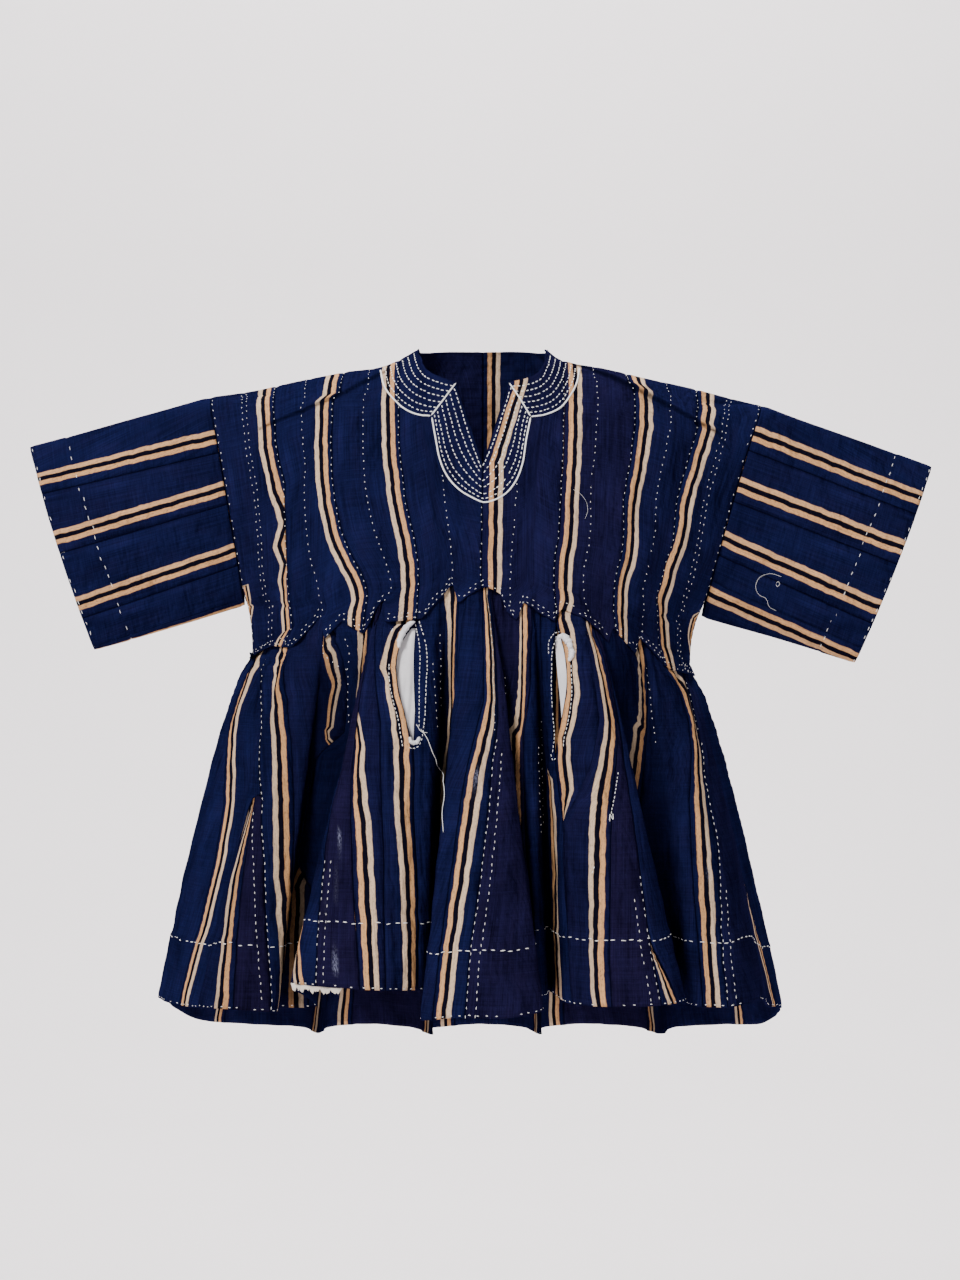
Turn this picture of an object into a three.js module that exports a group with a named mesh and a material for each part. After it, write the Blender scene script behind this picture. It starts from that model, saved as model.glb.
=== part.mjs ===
// A fugu smock: hand-woven strips sewn edge to edge into a wide T-shaped body with short straight sleeves,
// a V-slit round neck, a sawtooth waist seam, a flared skirt in cone-shaped folds and two slit pockets.
// Millimetres, +Z up, the front faces -Y, +X is to the right seen from the front.
// The origin is where the smock hangs on the shoulders, at the root of the neck.
import * as THREE from "three";

// Cloth
const WALL = 2; // thickness of the hand-woven cloth with its turnings
const LAP = 2.7; // how far the skirt's top edge lies behind the body's sawtooth edge
const SEAM_GAP = 0.5; // between two pieces along a seam
const BAG_WALL = 1.2; // the thinner cotton of the pocket bags

// Body depths, measured from the plane through the shoulders
const CHEST_FRONT = 128;
const CHEST_BACK = 112;
const SHOULDER_HALF = 62; // half the front-to-back thickness over the inner shoulder
const SHOULDER_DROP = 62; // how far below the ridge the body reaches that thickness
const ARMHOLE_HALF = 38; // half the thickness of the armhole
const ARMHOLE_DROP = 34; // how far below its tip the armhole reaches that thickness
const SIDE_ROUNDING = 175; // how far in from the side edge the body reaches its full depth
const CHEST_DROP = 250; // how far below the ridge the chest reaches its full depth

// The level line just above the sawtooth seam
const WAIST_Z = -250; // at the middle
const WAIST_SAG = 62; // how much lower it is at WAIST_SAG_X to either side
const WAIST_SAG_X = 230;
const WAIST_RIGHT_DROP = 28; // how much farther it falls at the right side

// Body outline seen from the front: the armhole seam, then the side seam under it
const edges = {
  left: { tipX: -309, tipZ: -41, middleX: -284, underarmZ: -277, waistX: -263, waistZ: -331 },
  right: { tipX: 315, tipZ: -50, middleX: 272, underarmZ: -290, waistX: 236, waistZ: -343 },
};

// The line over the shoulders and the sides of the neck
const shoulderLine = [
  { x: -316, z: -42 }, { x: -260, z: -34 }, { x: -209, z: -23 }, { x: -157, z: -13 }, { x: -106, z: -4 },
  { x: -89, z: 4 }, { x: -73, z: 13 }, { x: -40, z: 17 }, { x: 0, z: 18 }, { x: 40, z: 17 }, { x: 71, z: 13 },
  { x: 84, z: 3 }, { x: 99, z: -2 }, { x: 133, z: -8 }, { x: 185, z: -20 }, { x: 236, z: -31 },
  { x: 287, z: -44 }, { x: 325, z: -53 },
];
const NAPE_HALF = 74; // half the width of the raised cloth behind the neck
// How far that cloth stands above the shoulder line, across the neck opening
const napeRise = [
  { x: -74, z: 0 }, { x: -55, z: 21 }, { x: -30, z: 35 }, { x: 0, z: 40 }, { x: 30, z: 35 }, { x: 55, z: 21 },
  { x: 74, z: 0 },
];
// The neck edge in front, with its V slit, and behind
const frontNeck = [
  { x: -73, z: 12 }, { x: -70, z: -3 }, { x: -64, z: -14 }, { x: -56, z: -20 }, { x: -46, z: -24 },
  { x: -29, z: -30 }, { x: 0, z: -122 }, { x: 28, z: -30 }, { x: 46, z: -26 }, { x: 55, z: -23 },
  { x: 63, z: -17 }, { x: 69, z: -5 }, { x: 71, z: 12 },
];
const backNeck = [{ x: -73, z: 12 }, { x: -55, z: 15 }, { x: 0, z: 17 }, { x: 55, z: 15 }, { x: 71, z: 12 }];

// Front lengthwise lines: where each strip seam or mid-strip line lies at the waist, at its top and half way
const frontColumns = [
  { waist: -263, top: -309, middle: -284 },
  { waist: -243, top: -269, middle: -250 },
  { waist: -210, top: -235, middle: -222 },
  { waist: -173, top: -195, middle: -187 },
  { waist: -129, top: -160, middle: -149 },
  { waist: -101, top: -131, middle: -113 },
  { waist: -76, top: -95, middle: -79 },
  { waist: -58, top: -73, middle: -62 },
  { waist: -55, top: -70, middle: -59 },
  { waist: -50, top: -64, middle: -54 },
  { waist: -44, top: -56, middle: -48 },
  { waist: -38, top: -46, middle: -41 },
  { waist: -26, top: -29, middle: -27 },
  { waist: 0, top: 0, middle: 0 },
  { waist: 26, top: 28, middle: 26 },
  { waist: 40, top: 46, middle: 40 },
  { waist: 48, top: 55, middle: 47 },
  { waist: 56, top: 63, middle: 55 },
  { waist: 64, top: 69, middle: 62 },
  { waist: 68, top: 71, middle: 65 },
  { waist: 88, top: 90, middle: 84 },
  { waist: 118, top: 125, middle: 117 },
  { waist: 141, top: 164, middle: 153 },
  { waist: 172, top: 203, middle: 185 },
  { waist: 198, top: 242, middle: 207 },
  { waist: 229, top: 282, middle: 242 },
  { waist: 236, top: 315, middle: 272 },
];

// The sawtooth waist seam in front and behind, by its corners
const frontSawtooth = [
  { waist: -263, z: -337 }, { waist: -232, z: -324 }, { waist: -204, z: -326 }, { waist: -178, z: -289 },
  { waist: -171, z: -317 }, { waist: -152, z: -296 }, { waist: -125, z: -311 }, { waist: -106, z: -271 },
  { waist: -99, z: -298 }, { waist: -64, z: -294 }, { waist: -33, z: -255 }, { waist: -26, z: -278 },
  { waist: 0, z: -259 }, { waist: 18, z: -266 }, { waist: 25, z: -286 }, { waist: 36, z: -297 },
  { waist: 43, z: -276 }, { waist: 75, z: -297 }, { waist: 83, z: -283 }, { waist: 104, z: -293 },
  { waist: 132, z: -319 }, { waist: 140, z: -303 }, { waist: 164, z: -333 }, { waist: 172, z: -315 },
  { waist: 205, z: -351 }, { waist: 236, z: -357 },
];
const backSawtooth = [
  { waist: -263, z: -337 }, { waist: -226, z: -339 }, { waist: -190, z: -305 }, { waist: -182, z: -331 },
  { waist: -140, z: -284 }, { waist: -132, z: -310 }, { waist: -92, z: -268 }, { waist: -84, z: -295 },
  { waist: -45, z: -260 }, { waist: -37, z: -284 }, { waist: 0, z: -259 }, { waist: 38, z: -285 },
  { waist: 46, z: -262 }, { waist: 86, z: -297 }, { waist: 94, z: -272 }, { waist: 132, z: -316 },
  { waist: 140, z: -294 }, { waist: 178, z: -336 }, { waist: 186, z: -316 }, { waist: 216, z: -350 },
  { waist: 236, z: -357 },
];

// Skirt folds, from the left side round the front, the right side and the back. Each row is one line down the
// skirt: where it leaves the waist, where it meets the hem, and how early it moves out (below 1 is early).
const folds = [
  { line: "left side", waist: -263, hemX: -367, hemY: 10, hemZ: -726, opening: 0.74 },
  { line: "first face", waist: -243, hemX: -344, hemY: -90, hemZ: -720, opening: 0.78 },
  { line: "shallow valley", waist: -215, hemX: -320, hemY: -126, hemZ: -719, opening: 0.85 },
  { line: "second crest", waist: -197, hemX: -273, hemY: -198, hemZ: -712, opening: 0.9 },
  { line: "second crest edge", waist: -178, hemX: -228, hemY: -190, hemZ: -716, opening: 1 },
  { line: "deep valley start", waist: -162, hemX: -220, hemY: -122, hemZ: -720, opening: 1 },
  { line: "deep valley end", waist: -130, hemX: -187, hemY: -130, hemZ: -719, opening: 1 },
  { line: "third crest edge", waist: -112, hemX: -202, hemY: -236, hemZ: -681, opening: 0.98 },
  { line: "third crest", waist: -98, hemX: -160, hemY: -270, hemZ: -680, opening: 0.9 },
  { line: "third crest middle", waist: -80, hemX: -110, hemY: -277, hemZ: -682, opening: 0.9 },
  { line: "third crest end", waist: -52, hemX: -68, hemY: -242, hemZ: -686, opening: 0.9 },
  { line: "narrow valley", waist: -36, hemX: -52, hemY: -155, hemZ: -694, opening: 0.9 },
  { line: "cone return", waist: -26, hemX: -38, hemY: -218, hemZ: -704, opening: 0.95 },
  { line: "middle cone left edge", waist: -15, hemX: -64, hemY: -278, hemZ: -713, opening: 0.98 },
  { line: "middle cone left", waist: -7, hemX: -26, hemY: -304, hemZ: -707, opening: 0.9 },
  { line: "middle cone right", waist: 0, hemX: 22, hemY: -307, hemZ: -707, opening: 0.9 },
  { line: "middle cone right edge", waist: 6, hemX: 58, hemY: -284, hemZ: -704, opening: 1 },
  { line: "valley beside the cone", waist: 22, hemX: 28, hemY: -182, hemZ: -697, opening: 1 },
  { line: "small pleat", waist: 44, hemX: 59, hemY: -214, hemZ: -697, opening: 1 },
  { line: "valley after the pleat", waist: 58, hemX: 73, hemY: -150, hemZ: -699, opening: 1 },
  { line: "fifth crest edge", waist: 69, hemX: 97, hemY: -236, hemZ: -702, opening: 0.95 },
  { line: "fifth crest", waist: 90, hemX: 129, hemY: -270, hemZ: -700, opening: 0.9 },
  { line: "fifth crest end", waist: 106, hemX: 174, hemY: -268, hemZ: -700, opening: 0.9 },
  { line: "fifth crest right edge", waist: 120, hemX: 215, hemY: -222, hemZ: -700, opening: 1 },
  { line: "right valley start", waist: 138, hemX: 186, hemY: -146, hemZ: -706, opening: 1 },
  { line: "right valley end", waist: 164, hemX: 212, hemY: -150, hemZ: -710, opening: 1 },
  { line: "sixth face", waist: 188, hemX: 234, hemY: -200, hemZ: -709, opening: 0.95 },
  { line: "sixth crest", waist: 210, hemX: 266, hemY: -208, hemZ: -708, opening: 0.9 },
  { line: "sixth crest edge", waist: 224, hemX: 293, hemY: -178, hemZ: -705, opening: 0.88 },
  { line: "last face", waist: 231, hemX: 313, hemY: -95, hemZ: -722, opening: 0.85 },
  { line: "right side", waist: 236, hemX: 341, hemY: 10, hemZ: -738, opening: 0.8 },
  { line: "back first face", waist: 228, hemX: 330, hemY: 105, hemZ: -768, opening: 0.8 },
  { line: "back first crest", waist: 206, hemX: 285, hemY: 208, hemZ: -784, opening: 0.8 },
  { line: "back first edge", waist: 180, hemX: 236, hemY: 200, hemZ: -786, opening: 0.9 },
  { line: "back first valley", waist: 152, hemX: 212, hemY: 128, hemZ: -784, opening: 1 },
  { line: "back second edge", waist: 128, hemX: 178, hemY: 210, hemZ: -786, opening: 0.95 },
  { line: "back second crest", waist: 104, hemX: 128, hemY: 250, hemZ: -788, opening: 0.9 },
  { line: "back second end", waist: 78, hemX: 74, hemY: 215, hemZ: -788, opening: 0.95 },
  { line: "back second valley", waist: 54, hemX: 68, hemY: 138, hemZ: -786, opening: 1 },
  { line: "back third edge", waist: 30, hemX: 44, hemY: 232, hemZ: -790, opening: 0.95 },
  { line: "back third crest", waist: 6, hemX: -8, hemY: 262, hemZ: -791, opening: 0.9 },
  { line: "back third end", waist: -18, hemX: -58, hemY: 226, hemZ: -790, opening: 0.95 },
  { line: "back third valley", waist: -44, hemX: -60, hemY: 142, hemZ: -787, opening: 1 },
  { line: "back fourth edge", waist: -70, hemX: -88, hemY: 222, hemZ: -789, opening: 0.95 },
  { line: "back fourth crest", waist: -94, hemX: -136, hemY: 252, hemZ: -789, opening: 0.9 },
  { line: "back fourth end", waist: -120, hemX: -184, hemY: 214, hemZ: -787, opening: 0.95 },
  { line: "back fourth valley", waist: -148, hemX: -196, hemY: 132, hemZ: -784, opening: 1 },
  { line: "back fifth edge", waist: -172, hemX: -222, hemY: 196, hemZ: -785, opening: 0.9 },
  { line: "back fifth crest", waist: -198, hemX: -272, hemY: 210, hemZ: -784, opening: 0.85 },
  { line: "back last face", waist: -232, hemX: -338, hemY: 112, hemZ: -764, opening: 0.75 },
];

// Skirt pieces: where each one ends, as a distance round the hem from the left side. The last one of a panel
// ends at its side seam. A strip keeps its width and is gathered at the waist; a gore is cut narrow there.
// Two seams wander from their fold line: waist says where they leave the waist.
const frontPieces = [
  { kind: "gore", hem: 119 },
  { kind: "strip", hem: 237 },
  { kind: "strip", hem: 312 },
  { kind: "gore", hem: 433 },
  { kind: "strip", hem: 541 },
  { kind: "strip", hem: 640, waist: -79 },
  { kind: "gore", hem: 692 },
  { kind: "strip", hem: 767 },
  { kind: "strip", hem: 888 },
  { kind: "gore", hem: 980 },
  { kind: "strip", hem: 1054 },
  { kind: "gore", hem: 1185 },
  { kind: "strip", hem: 1312, waist: 78 },
  { kind: "strip", hem: 1412 },
  { kind: "gore", hem: 1501 },
  { kind: "strip", hem: 1626 },
  { kind: "strip", hem: 1684 },
  { kind: "gore", hem: 1760 },
  { kind: "strip" },
];
const backPieces = [
  { kind: "gore", hem: 2042 },
  { kind: "strip", hem: 2186 },
  { kind: "strip", hem: 2268 },
  { kind: "gore", hem: 2409 },
  { kind: "strip", hem: 2480 },
  { kind: "strip", hem: 2566 },
  { kind: "gore", hem: 2706 },
  { kind: "strip", hem: 2779 },
  { kind: "strip", hem: 2863 },
  { kind: "gore", hem: 2992 },
  { kind: "strip", hem: 3064 },
  { kind: "strip", hem: 3140 },
  { kind: "gore", hem: 3286 },
  { kind: "strip" },
];

// Pocket slits: the piece whose end they open, their height range and greatest width
const slits = [
  { name: "left", piece: 5, top: -296, bottom: -432, width: 21, bagBefore: 66, bagAfter: 40 },
  { name: "right", piece: 12, top: -305, bottom: -450, width: 17, bagBefore: 8, bagAfter: 84 },
];
const BAG_DEPTH = 7; // how far behind the skirt the pocket bag hangs
const BAG_TOP_DROP = 6; // how far below the slit's top the bag begins
const BAG_BELOW = 36; // how far the bag reaches below its slit

// Sleeves: the cuff's upper and lower point, its half thickness, and how far the back half stands out past it
const cuffs = {
  left: { topX: -516, topZ: -98, lowX: -443, lowZ: -328, half: 33, backOut: 1 },
  right: { topX: 511, topZ: -120, lowX: 424, lowZ: -342, half: 36, backOut: 6 },
};
const CUFF_FULLNESS = 0.7; // below 1 the flattened cuff is fuller near its upper and lower points

// How finely each piece is faceted
const BODY_ROWS = 9;
const BODY_COLUMN = 27;
const SKIRT_ROWS = [0, 0.1, 0.2, 0.34, 0.55, 0.78, 1];
const SKIRT_COLUMN = 32;
const SLEEVE_ROWS = 5;
const SLEEVE_HALF_COLUMNS = 9;
const BAG_ROWS = 6;
const BAG_COLUMNS = 5;
const CORNER_CLEAR = 0.06; // share of a piece's width kept free beside a sawtooth corner

// Steps over which slopes are taken from the surface
const STEP = 0.01; // as a share of a length
const WAIST_STEP = 0.4;
const HEM_STEP = 2;
const TURN_STEP = 0.004; // as a share of a turn
const HALVINGS = 40; // enough to find a place round the hem exactly

const clamp = (value, low, high) => Math.min(high, Math.max(low, value));
const lerp = (a, b, f) => a + (b - a) * f;
const smooth = (f) => clamp(f, 0, 1) ** 2 * (3 - 2 * clamp(f, 0, 1));
// A quarter circle: rises straight up from 0 and levels off at 1.
const quarter = (f) => Math.sqrt(1 - (1 - clamp(f, 0, 1)) ** 2);

// A smooth curve through rows of a table: value as a function of key.
function through(rows, key, value) {
  const k = rows.map((row) => row[key]);
  const v = rows.map((row) => row[value]);
  const n = k.length;
  const rise = (i) => (v[i + 1] - v[i]) / (k[i + 1] - k[i]);
  const slope = k.map((_, i) => {
    if (i === 0) return rise(0);
    if (i === n - 1) return rise(n - 2);
    const before = k[i] - k[i - 1];
    const after = k[i + 1] - k[i];
    return (after * rise(i - 1) + before * rise(i)) / (before + after);
  });
  return (at) => {
    let i = 0;
    while (i < n - 2 && at >= k[i + 1]) i += 1;
    const span = k[i + 1] - k[i];
    const f = clamp((at - k[i]) / span, 0, 1);
    return (
      v[i] * (1 + 2 * f) * (1 - f) ** 2 +
      slope[i] * span * f * (1 - f) ** 2 +
      v[i + 1] * f * f * (3 - 2 * f) +
      slope[i + 1] * span * f * f * (f - 1)
    );
  };
}

// Straight lines between rows of a table.
function along(rows, key, value) {
  return (at) => {
    let i = 0;
    while (i < rows.length - 2 && at >= rows[i + 1][key]) i += 1;
    const f = clamp((at - rows[i][key]) / (rows[i + 1][key] - rows[i][key]), 0, 1);
    return lerp(rows[i][value], rows[i + 1][value], f);
  };
}

// ---- The body above the waist

const shoulderZ = through(shoulderLine, "x", "z");
const napeZ = through(napeRise, "x", "z");
const ridgeZ = (x, back) => shoulderZ(x) + (back && Math.abs(x) < NAPE_HALF ? napeZ(x) : 0);

// The side edge: the armhole seam and the side seam under it, one shallow curve.
function edgeX(z, edge) {
  const f = clamp((edge.tipZ - z) / (edge.tipZ - edge.waistZ), 0, 1);
  return curveThroughThree(edge.tipX, edge.middleX, edge.waistX, f);
}

function curveThroughThree(start, middle, end, f) {
  return start * (1 - f) * (1 - 2 * f) + middle * 4 * f * (1 - f) + end * f * (2 * f - 1);
}

// Half the armhole's thickness at height z: round over the shoulder, closing at the underarm.
function armholeHalf(z, edge) {
  const f = clamp((edge.tipZ - z) / (edge.tipZ - edge.underarmZ), 0, 1);
  return ARMHOLE_HALF * quarter((edge.tipZ - z) / ARMHOLE_DROP) * Math.sqrt(1 - f ** 3);
}

// How far the body's front or back stands from the plane of the shoulders.
function bodyDepth(x, z, back) {
  const edge = x < 0 ? edges.left : edges.right;
  const inset = Math.max(0, Math.abs(edgeX(z, edge)) - Math.abs(x));
  const drop = Math.max(0, ridgeZ(x, back) - z);
  const chest = back ? CHEST_BACK : CHEST_FRONT;
  const shoulder = SHOULDER_HALF * quarter(drop / SHOULDER_DROP);
  const inner = shoulder + (chest - SHOULDER_HALF) * smooth(drop / CHEST_DROP);
  const outer = armholeHalf(z, edge);
  return outer + (inner - outer) * Math.sin((Math.PI / 2) * clamp(inset / SIDE_ROUNDING, 0, 1));
}

function waistZ(waist) {
  const rightDrop = waist > 0 ? WAIST_RIGHT_DROP * smooth(waist / edges.right.waistX) ** 2 : 0;
  return WAIST_Z - WAIST_SAG * (waist / WAIST_SAG_X) ** 2 - rightDrop;
}

const frontTopX = through(frontColumns, "waist", "top");
const frontMiddleX = through(frontColumns, "waist", "middle");
const frontNeckZ = along(frontNeck, "x", "z");
const backNeckZ = through(backNeck, "x", "z");
const onNeck = (x) => x > frontNeck[0].x && x < frontNeck[frontNeck.length - 1].x;

// A point of the body at fraction f from its top edge (0) to the waist line (1).
function bodyPoint(waist, f, back) {
  const side = waist < 0 ? edges.left : edges.right;
  const share = waist / side.waistX;
  const topX = back ? share * side.tipX : frontTopX(waist);
  const middleX = back ? share * side.middleX : frontMiddleX(waist);
  const neckZ = back ? backNeckZ : frontNeckZ;
  const topZ = onNeck(topX) ? neckZ(topX) : ridgeZ(topX, back);
  const x = curveThroughThree(topX, middleX, waist, f);
  const z = lerp(topZ, waistZ(waist), f);
  const depth = bodyDepth(x, z, back);
  return new THREE.Vector3(x, back ? depth : -depth, z);
}

// ---- The skirt below the waist

// Distance round the hem, from the left side, at each fold line.
let hemLength = 0;
folds.forEach((fold, i) => {
  fold.around = hemLength;
  const next = folds[(i + 1) % folds.length];
  hemLength += Math.hypot(next.hemX - fold.hemX, next.hemY - fold.hemY);
});
const FRONT_END = folds.find((fold) => fold.line === "right side").around;
const wrapped = [
  ...folds.slice(-3).map((fold) => ({ ...fold, around: fold.around - hemLength })),
  ...folds,
  ...folds.slice(0, 4).map((fold) => ({ ...fold, around: fold.around + hemLength })),
];
const roundTheHem = (value) => {
  const curve = through(wrapped, "around", value);
  return (around) => curve(((around % hemLength) + hemLength) % hemLength);
};
const waistOf = roundTheHem("waist");
const hemXOf = roundTheHem("hemX");
const hemYOf = roundTheHem("hemY");
const hemZOf = roundTheHem("hemZ");
const openingOf = roundTheHem("opening");
const isBack = (around) => around > FRONT_END;

// The distance round the hem that belongs to a place at the waist.
function aroundOf(waist, back) {
  let low = back ? hemLength : 0;
  let high = FRONT_END;
  for (let i = 0; i < HALVINGS; i += 1) {
    const middle = (low + high) / 2;
    if (waistOf(middle) < waist) low = middle;
    else high = middle;
  }
  return (low + high) / 2;
}

// A point of the skirt's surface: it leaves the waist line and fans out to the folds at the hem.
function skirtPoint(around, z) {
  const waist = waistOf(around);
  const top = waistZ(waist);
  const depth = bodyDepth(waist, top, isBack(around));
  const waistY = isBack(around) ? depth : -depth;
  const fan = Math.max(0, (top - z) / (top - hemZOf(around))) ** openingOf(around);
  return new THREE.Vector3(lerp(waist, hemXOf(around), fan), lerp(waistY, hemYOf(around), fan), z);
}

// ---- From surfaces to closed walls

// The outward direction at a vertex, from two neighbouring points along each direction.
function outward(acrossA, acrossB, downA, downB) {
  const across = acrossB.clone().sub(acrossA);
  const down = downB.clone().sub(downA);
  return across.cross(down).negate().normalize();
}

// A closed wall round a grid of { point, normal }, with rims along its free edges.
function clothWall(grid, thickness, ring = false) {
  const rows = grid.length;
  const columns = grid[0].length;
  const positions = [];
  for (const side of [1, -1]) {
    for (const row of grid) {
      for (const { point, normal } of row) {
        positions.push(...point.clone().addScaledVector(normal, (side * thickness) / 2).toArray());
      }
    }
  }
  const inner = rows * columns;
  const at = (j, i) => j * columns + (i % columns);
  const faces = [];
  const quad = (a, b, c, d) => faces.push(a, b, c, a, c, d);
  const lastColumn = ring ? columns : columns - 1;
  for (let j = 0; j < rows - 1; j += 1) {
    for (let i = 0; i < lastColumn; i += 1) {
      quad(at(j, i), at(j + 1, i), at(j + 1, i + 1), at(j, i + 1));
      quad(inner + at(j, i), inner + at(j, i + 1), inner + at(j + 1, i + 1), inner + at(j + 1, i));
    }
  }
  for (let i = 0; i < lastColumn; i += 1) {
    quad(at(0, i), at(0, i + 1), inner + at(0, i + 1), inner + at(0, i));
    quad(at(rows - 1, i + 1), at(rows - 1, i), inner + at(rows - 1, i), inner + at(rows - 1, i + 1));
  }
  if (!ring) {
    for (let j = 0; j < rows - 1; j += 1) {
      quad(at(j + 1, 0), at(j, 0), inner + at(j, 0), inner + at(j + 1, 0));
      const end = columns - 1;
      quad(at(j, end), at(j + 1, end), inner + at(j + 1, end), inner + at(j, end));
    }
  }
  const geometry = new THREE.BufferGeometry();
  geometry.setAttribute("position", new THREE.Float32BufferAttribute(positions, 3));
  geometry.setIndex(faces);
  geometry.computeVertexNormals();
  return geometry;
}

// ---- Pieces

const indigoCloth = () => new THREE.MeshStandardMaterial({ color: 0x16204a, roughness: 0.9, metalness: 0 });
const bagCotton = () => new THREE.MeshStandardMaterial({ color: 0xdedade, roughness: 0.85, metalness: 0 });

const smock = new THREE.Group();
smock.name = "fugu_smock";

function addPiece(name, geometry, material) {
  const mesh = new THREE.Mesh(geometry, material);
  mesh.name = name;
  smock.add(mesh);
}

// Places at the waist for the body's columns: the sawtooth corners with even steps between them.
function withSteps(corners, step) {
  const places = [corners[0]];
  for (let i = 1; i < corners.length; i += 1) {
    const parts = Math.max(1, Math.round((corners[i] - corners[i - 1]) / step));
    for (let n = 1; n <= parts; n += 1) places.push(lerp(corners[i - 1], corners[i], n / parts));
  }
  return places;
}

function bodyPanel(back) {
  const sawtooth = back ? backSawtooth : frontSawtooth;
  const sawtoothZ = along(sawtooth, "waist", "z");
  const neckPlaces = back ? [] : frontColumns.filter((c) => onNeck(c.top)).map((c) => c.waist);
  const corners = [...sawtooth.map((corner) => corner.waist), ...neckPlaces].sort((a, b) => a - b);
  const places = withSteps(corners, BODY_COLUMN).filter((w, i, all) => i === 0 || w - all[i - 1] > 1);
  const last = places.length - 1;
  const grid = [];
  for (let j = 0; j <= BODY_ROWS; j += 1) {
    const f = (j / BODY_ROWS) ** 2;
    grid.push(places.map((waist, i) => bodyVertex(waist, f, back, i === 0 || i === last)));
  }
  grid.push(places.map((waist, i) => flapVertex(waist, sawtoothZ(waist), back, i === 0 || i === last)));
  if (back) grid.forEach((row) => row.reverse());
  return clothWall(grid, WALL);
}

function bodyVertex(waist, f, back, onSide) {
  const point = bodyPoint(waist, f, back);
  const low = Math.max(waist - WAIST_STEP, edges.left.waistX);
  const high = Math.min(waist + WAIST_STEP, edges.right.waistX);
  const under = Math.min(1, f + STEP / 4);
  const over = Math.max(0, under - STEP / 2);
  const normal = outward(
    bodyPoint(low, f, back), bodyPoint(high, f, back),
    bodyPoint(waist, over, back), bodyPoint(waist, under, back),
  );
  if (back) normal.negate();
  const edge = waist < 0 ? edges.left : edges.right;
  if (onSide && point.z < edge.underarmZ + 2) normal.setY(0).normalize();
  point.y += (back ? 1 : -1) * (SEAM_GAP / 2);
  return { point, normal };
}

// The body's lower edge lies on the skirt's surface.
function flapVertex(waist, z, back, onSide) {
  const around = aroundOf(waist, back);
  return skirtVertex(around, z + SEAM_GAP, back, onSide);
}

function skirtVertex(around, z, back, onSide) {
  const start = back ? FRONT_END + STEP : 0;
  const end = back ? hemLength - STEP : FRONT_END;
  const here = clamp(around, start, end);
  const normal = outward(
    skirtPoint(Math.max(here - HEM_STEP, start), z), skirtPoint(Math.min(here + HEM_STEP, end), z),
    skirtPoint(here, z + 1), skirtPoint(here, z - 1),
  );
  if (onSide) normal.setY(0).normalize();
  const point = skirtPoint(here, z);
  point.y += (back ? 1 : -1) * (SEAM_GAP / 2);
  return { point, normal };
}

// One strip or gore between two lines, each given by its hem distance at the waist and at the hem.
function skirtPiece(start, end, back, slitAtStart, slitAtEnd) {
  const sawtooth = back ? backSawtooth : frontSawtooth;
  const sawtoothZ = along(sawtooth, "waist", "z");
  const shares = pieceShares(start, end, sawtooth, back);
  const last = shares.length - 1;
  return SKIRT_ROWS.map((down) =>
    shares.map((share, i) => {
      const waistAround = lerp(start.waist, end.waist, share);
      const around = lerp(waistAround, lerp(start.hem, end.hem, share), down);
      const z = lerp(sawtoothZ(waistOf(waistAround)) - SEAM_GAP, hemZOf(around), down);
      const onSide = (i === 0 && start.side) || (i === last && end.side);
      const vertex = skirtVertex(around, z, back, onSide);
      vertex.point.addScaledVector(vertex.normal, -LAP * Math.max(0, 1 - down / SKIRT_ROWS[1]));
      if (i === 0) pullBack(vertex, around, z, 1, slitAtStart);
      if (i === last) pullBack(vertex, around, z, -1, slitAtEnd);
      return vertex;
    }),
  );
}

// Shares of a piece's width for its columns: even steps, and every sawtooth corner that falls in it.
function pieceShares(start, end, sawtooth, back) {
  const parts = Math.max(2, Math.round((end.hem - start.hem) / SKIRT_COLUMN));
  const corners = sawtooth
    .map((corner) => (aroundOf(corner.waist, back) - start.waist) / (end.waist - start.waist))
    .filter((share) => share > CORNER_CLEAR / 2 && share < 1 - CORNER_CLEAR / 2);
  const even = Array.from({ length: parts + 1 }, (_, i) => i / parts);
  const isClear = (share) => corners.every((corner) => Math.abs(corner - share) > CORNER_CLEAR);
  const clear = even.filter((share) => share === 0 || share === 1 || isClear(share));
  return [...clear, ...corners].sort((a, b) => a - b);
}

// Moves an edge vertex back along the cloth, for the seam gap and for a slit that opens there.
function pullBack(vertex, around, z, direction, slit) {
  const sideways = skirtPoint(around + HEM_STEP / 4, z).sub(skirtPoint(around - HEM_STEP / 4, z)).normalize();
  const f = slit ? clamp((slit.top - z) / (slit.top - slit.bottom), 0, 1) : 0;
  const open = slit ? (slit.width / 2) * Math.sin(Math.PI * f) : 0;
  vertex.point.addScaledVector(sideways, direction * (SEAM_GAP / 2 + open));
}

function addSkirtPanel(name, pieces, begin, finish, back) {
  const counts = { strip: 0, gore: 0 };
  let start = { waist: begin, hem: begin, side: true };
  pieces.forEach((piece, i) => {
    const hem = piece.hem ?? finish;
    const waist = piece.waist ? aroundOf(piece.waist, back) : hem;
    const end = { waist, hem, side: i === pieces.length - 1 };
    const slitAt = (n) => (back ? undefined : slits.find((slit) => slit.piece === n));
    const grid = skirtPiece(start, end, back, slitAt(i - 1), slitAt(i));
    counts[piece.kind] += 1;
    addPiece(`${name}_${piece.kind}_${counts[piece.kind]}`, clothWall(grid, WALL), indigoCloth());
    start = { ...end, side: false };
  });
}

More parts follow.
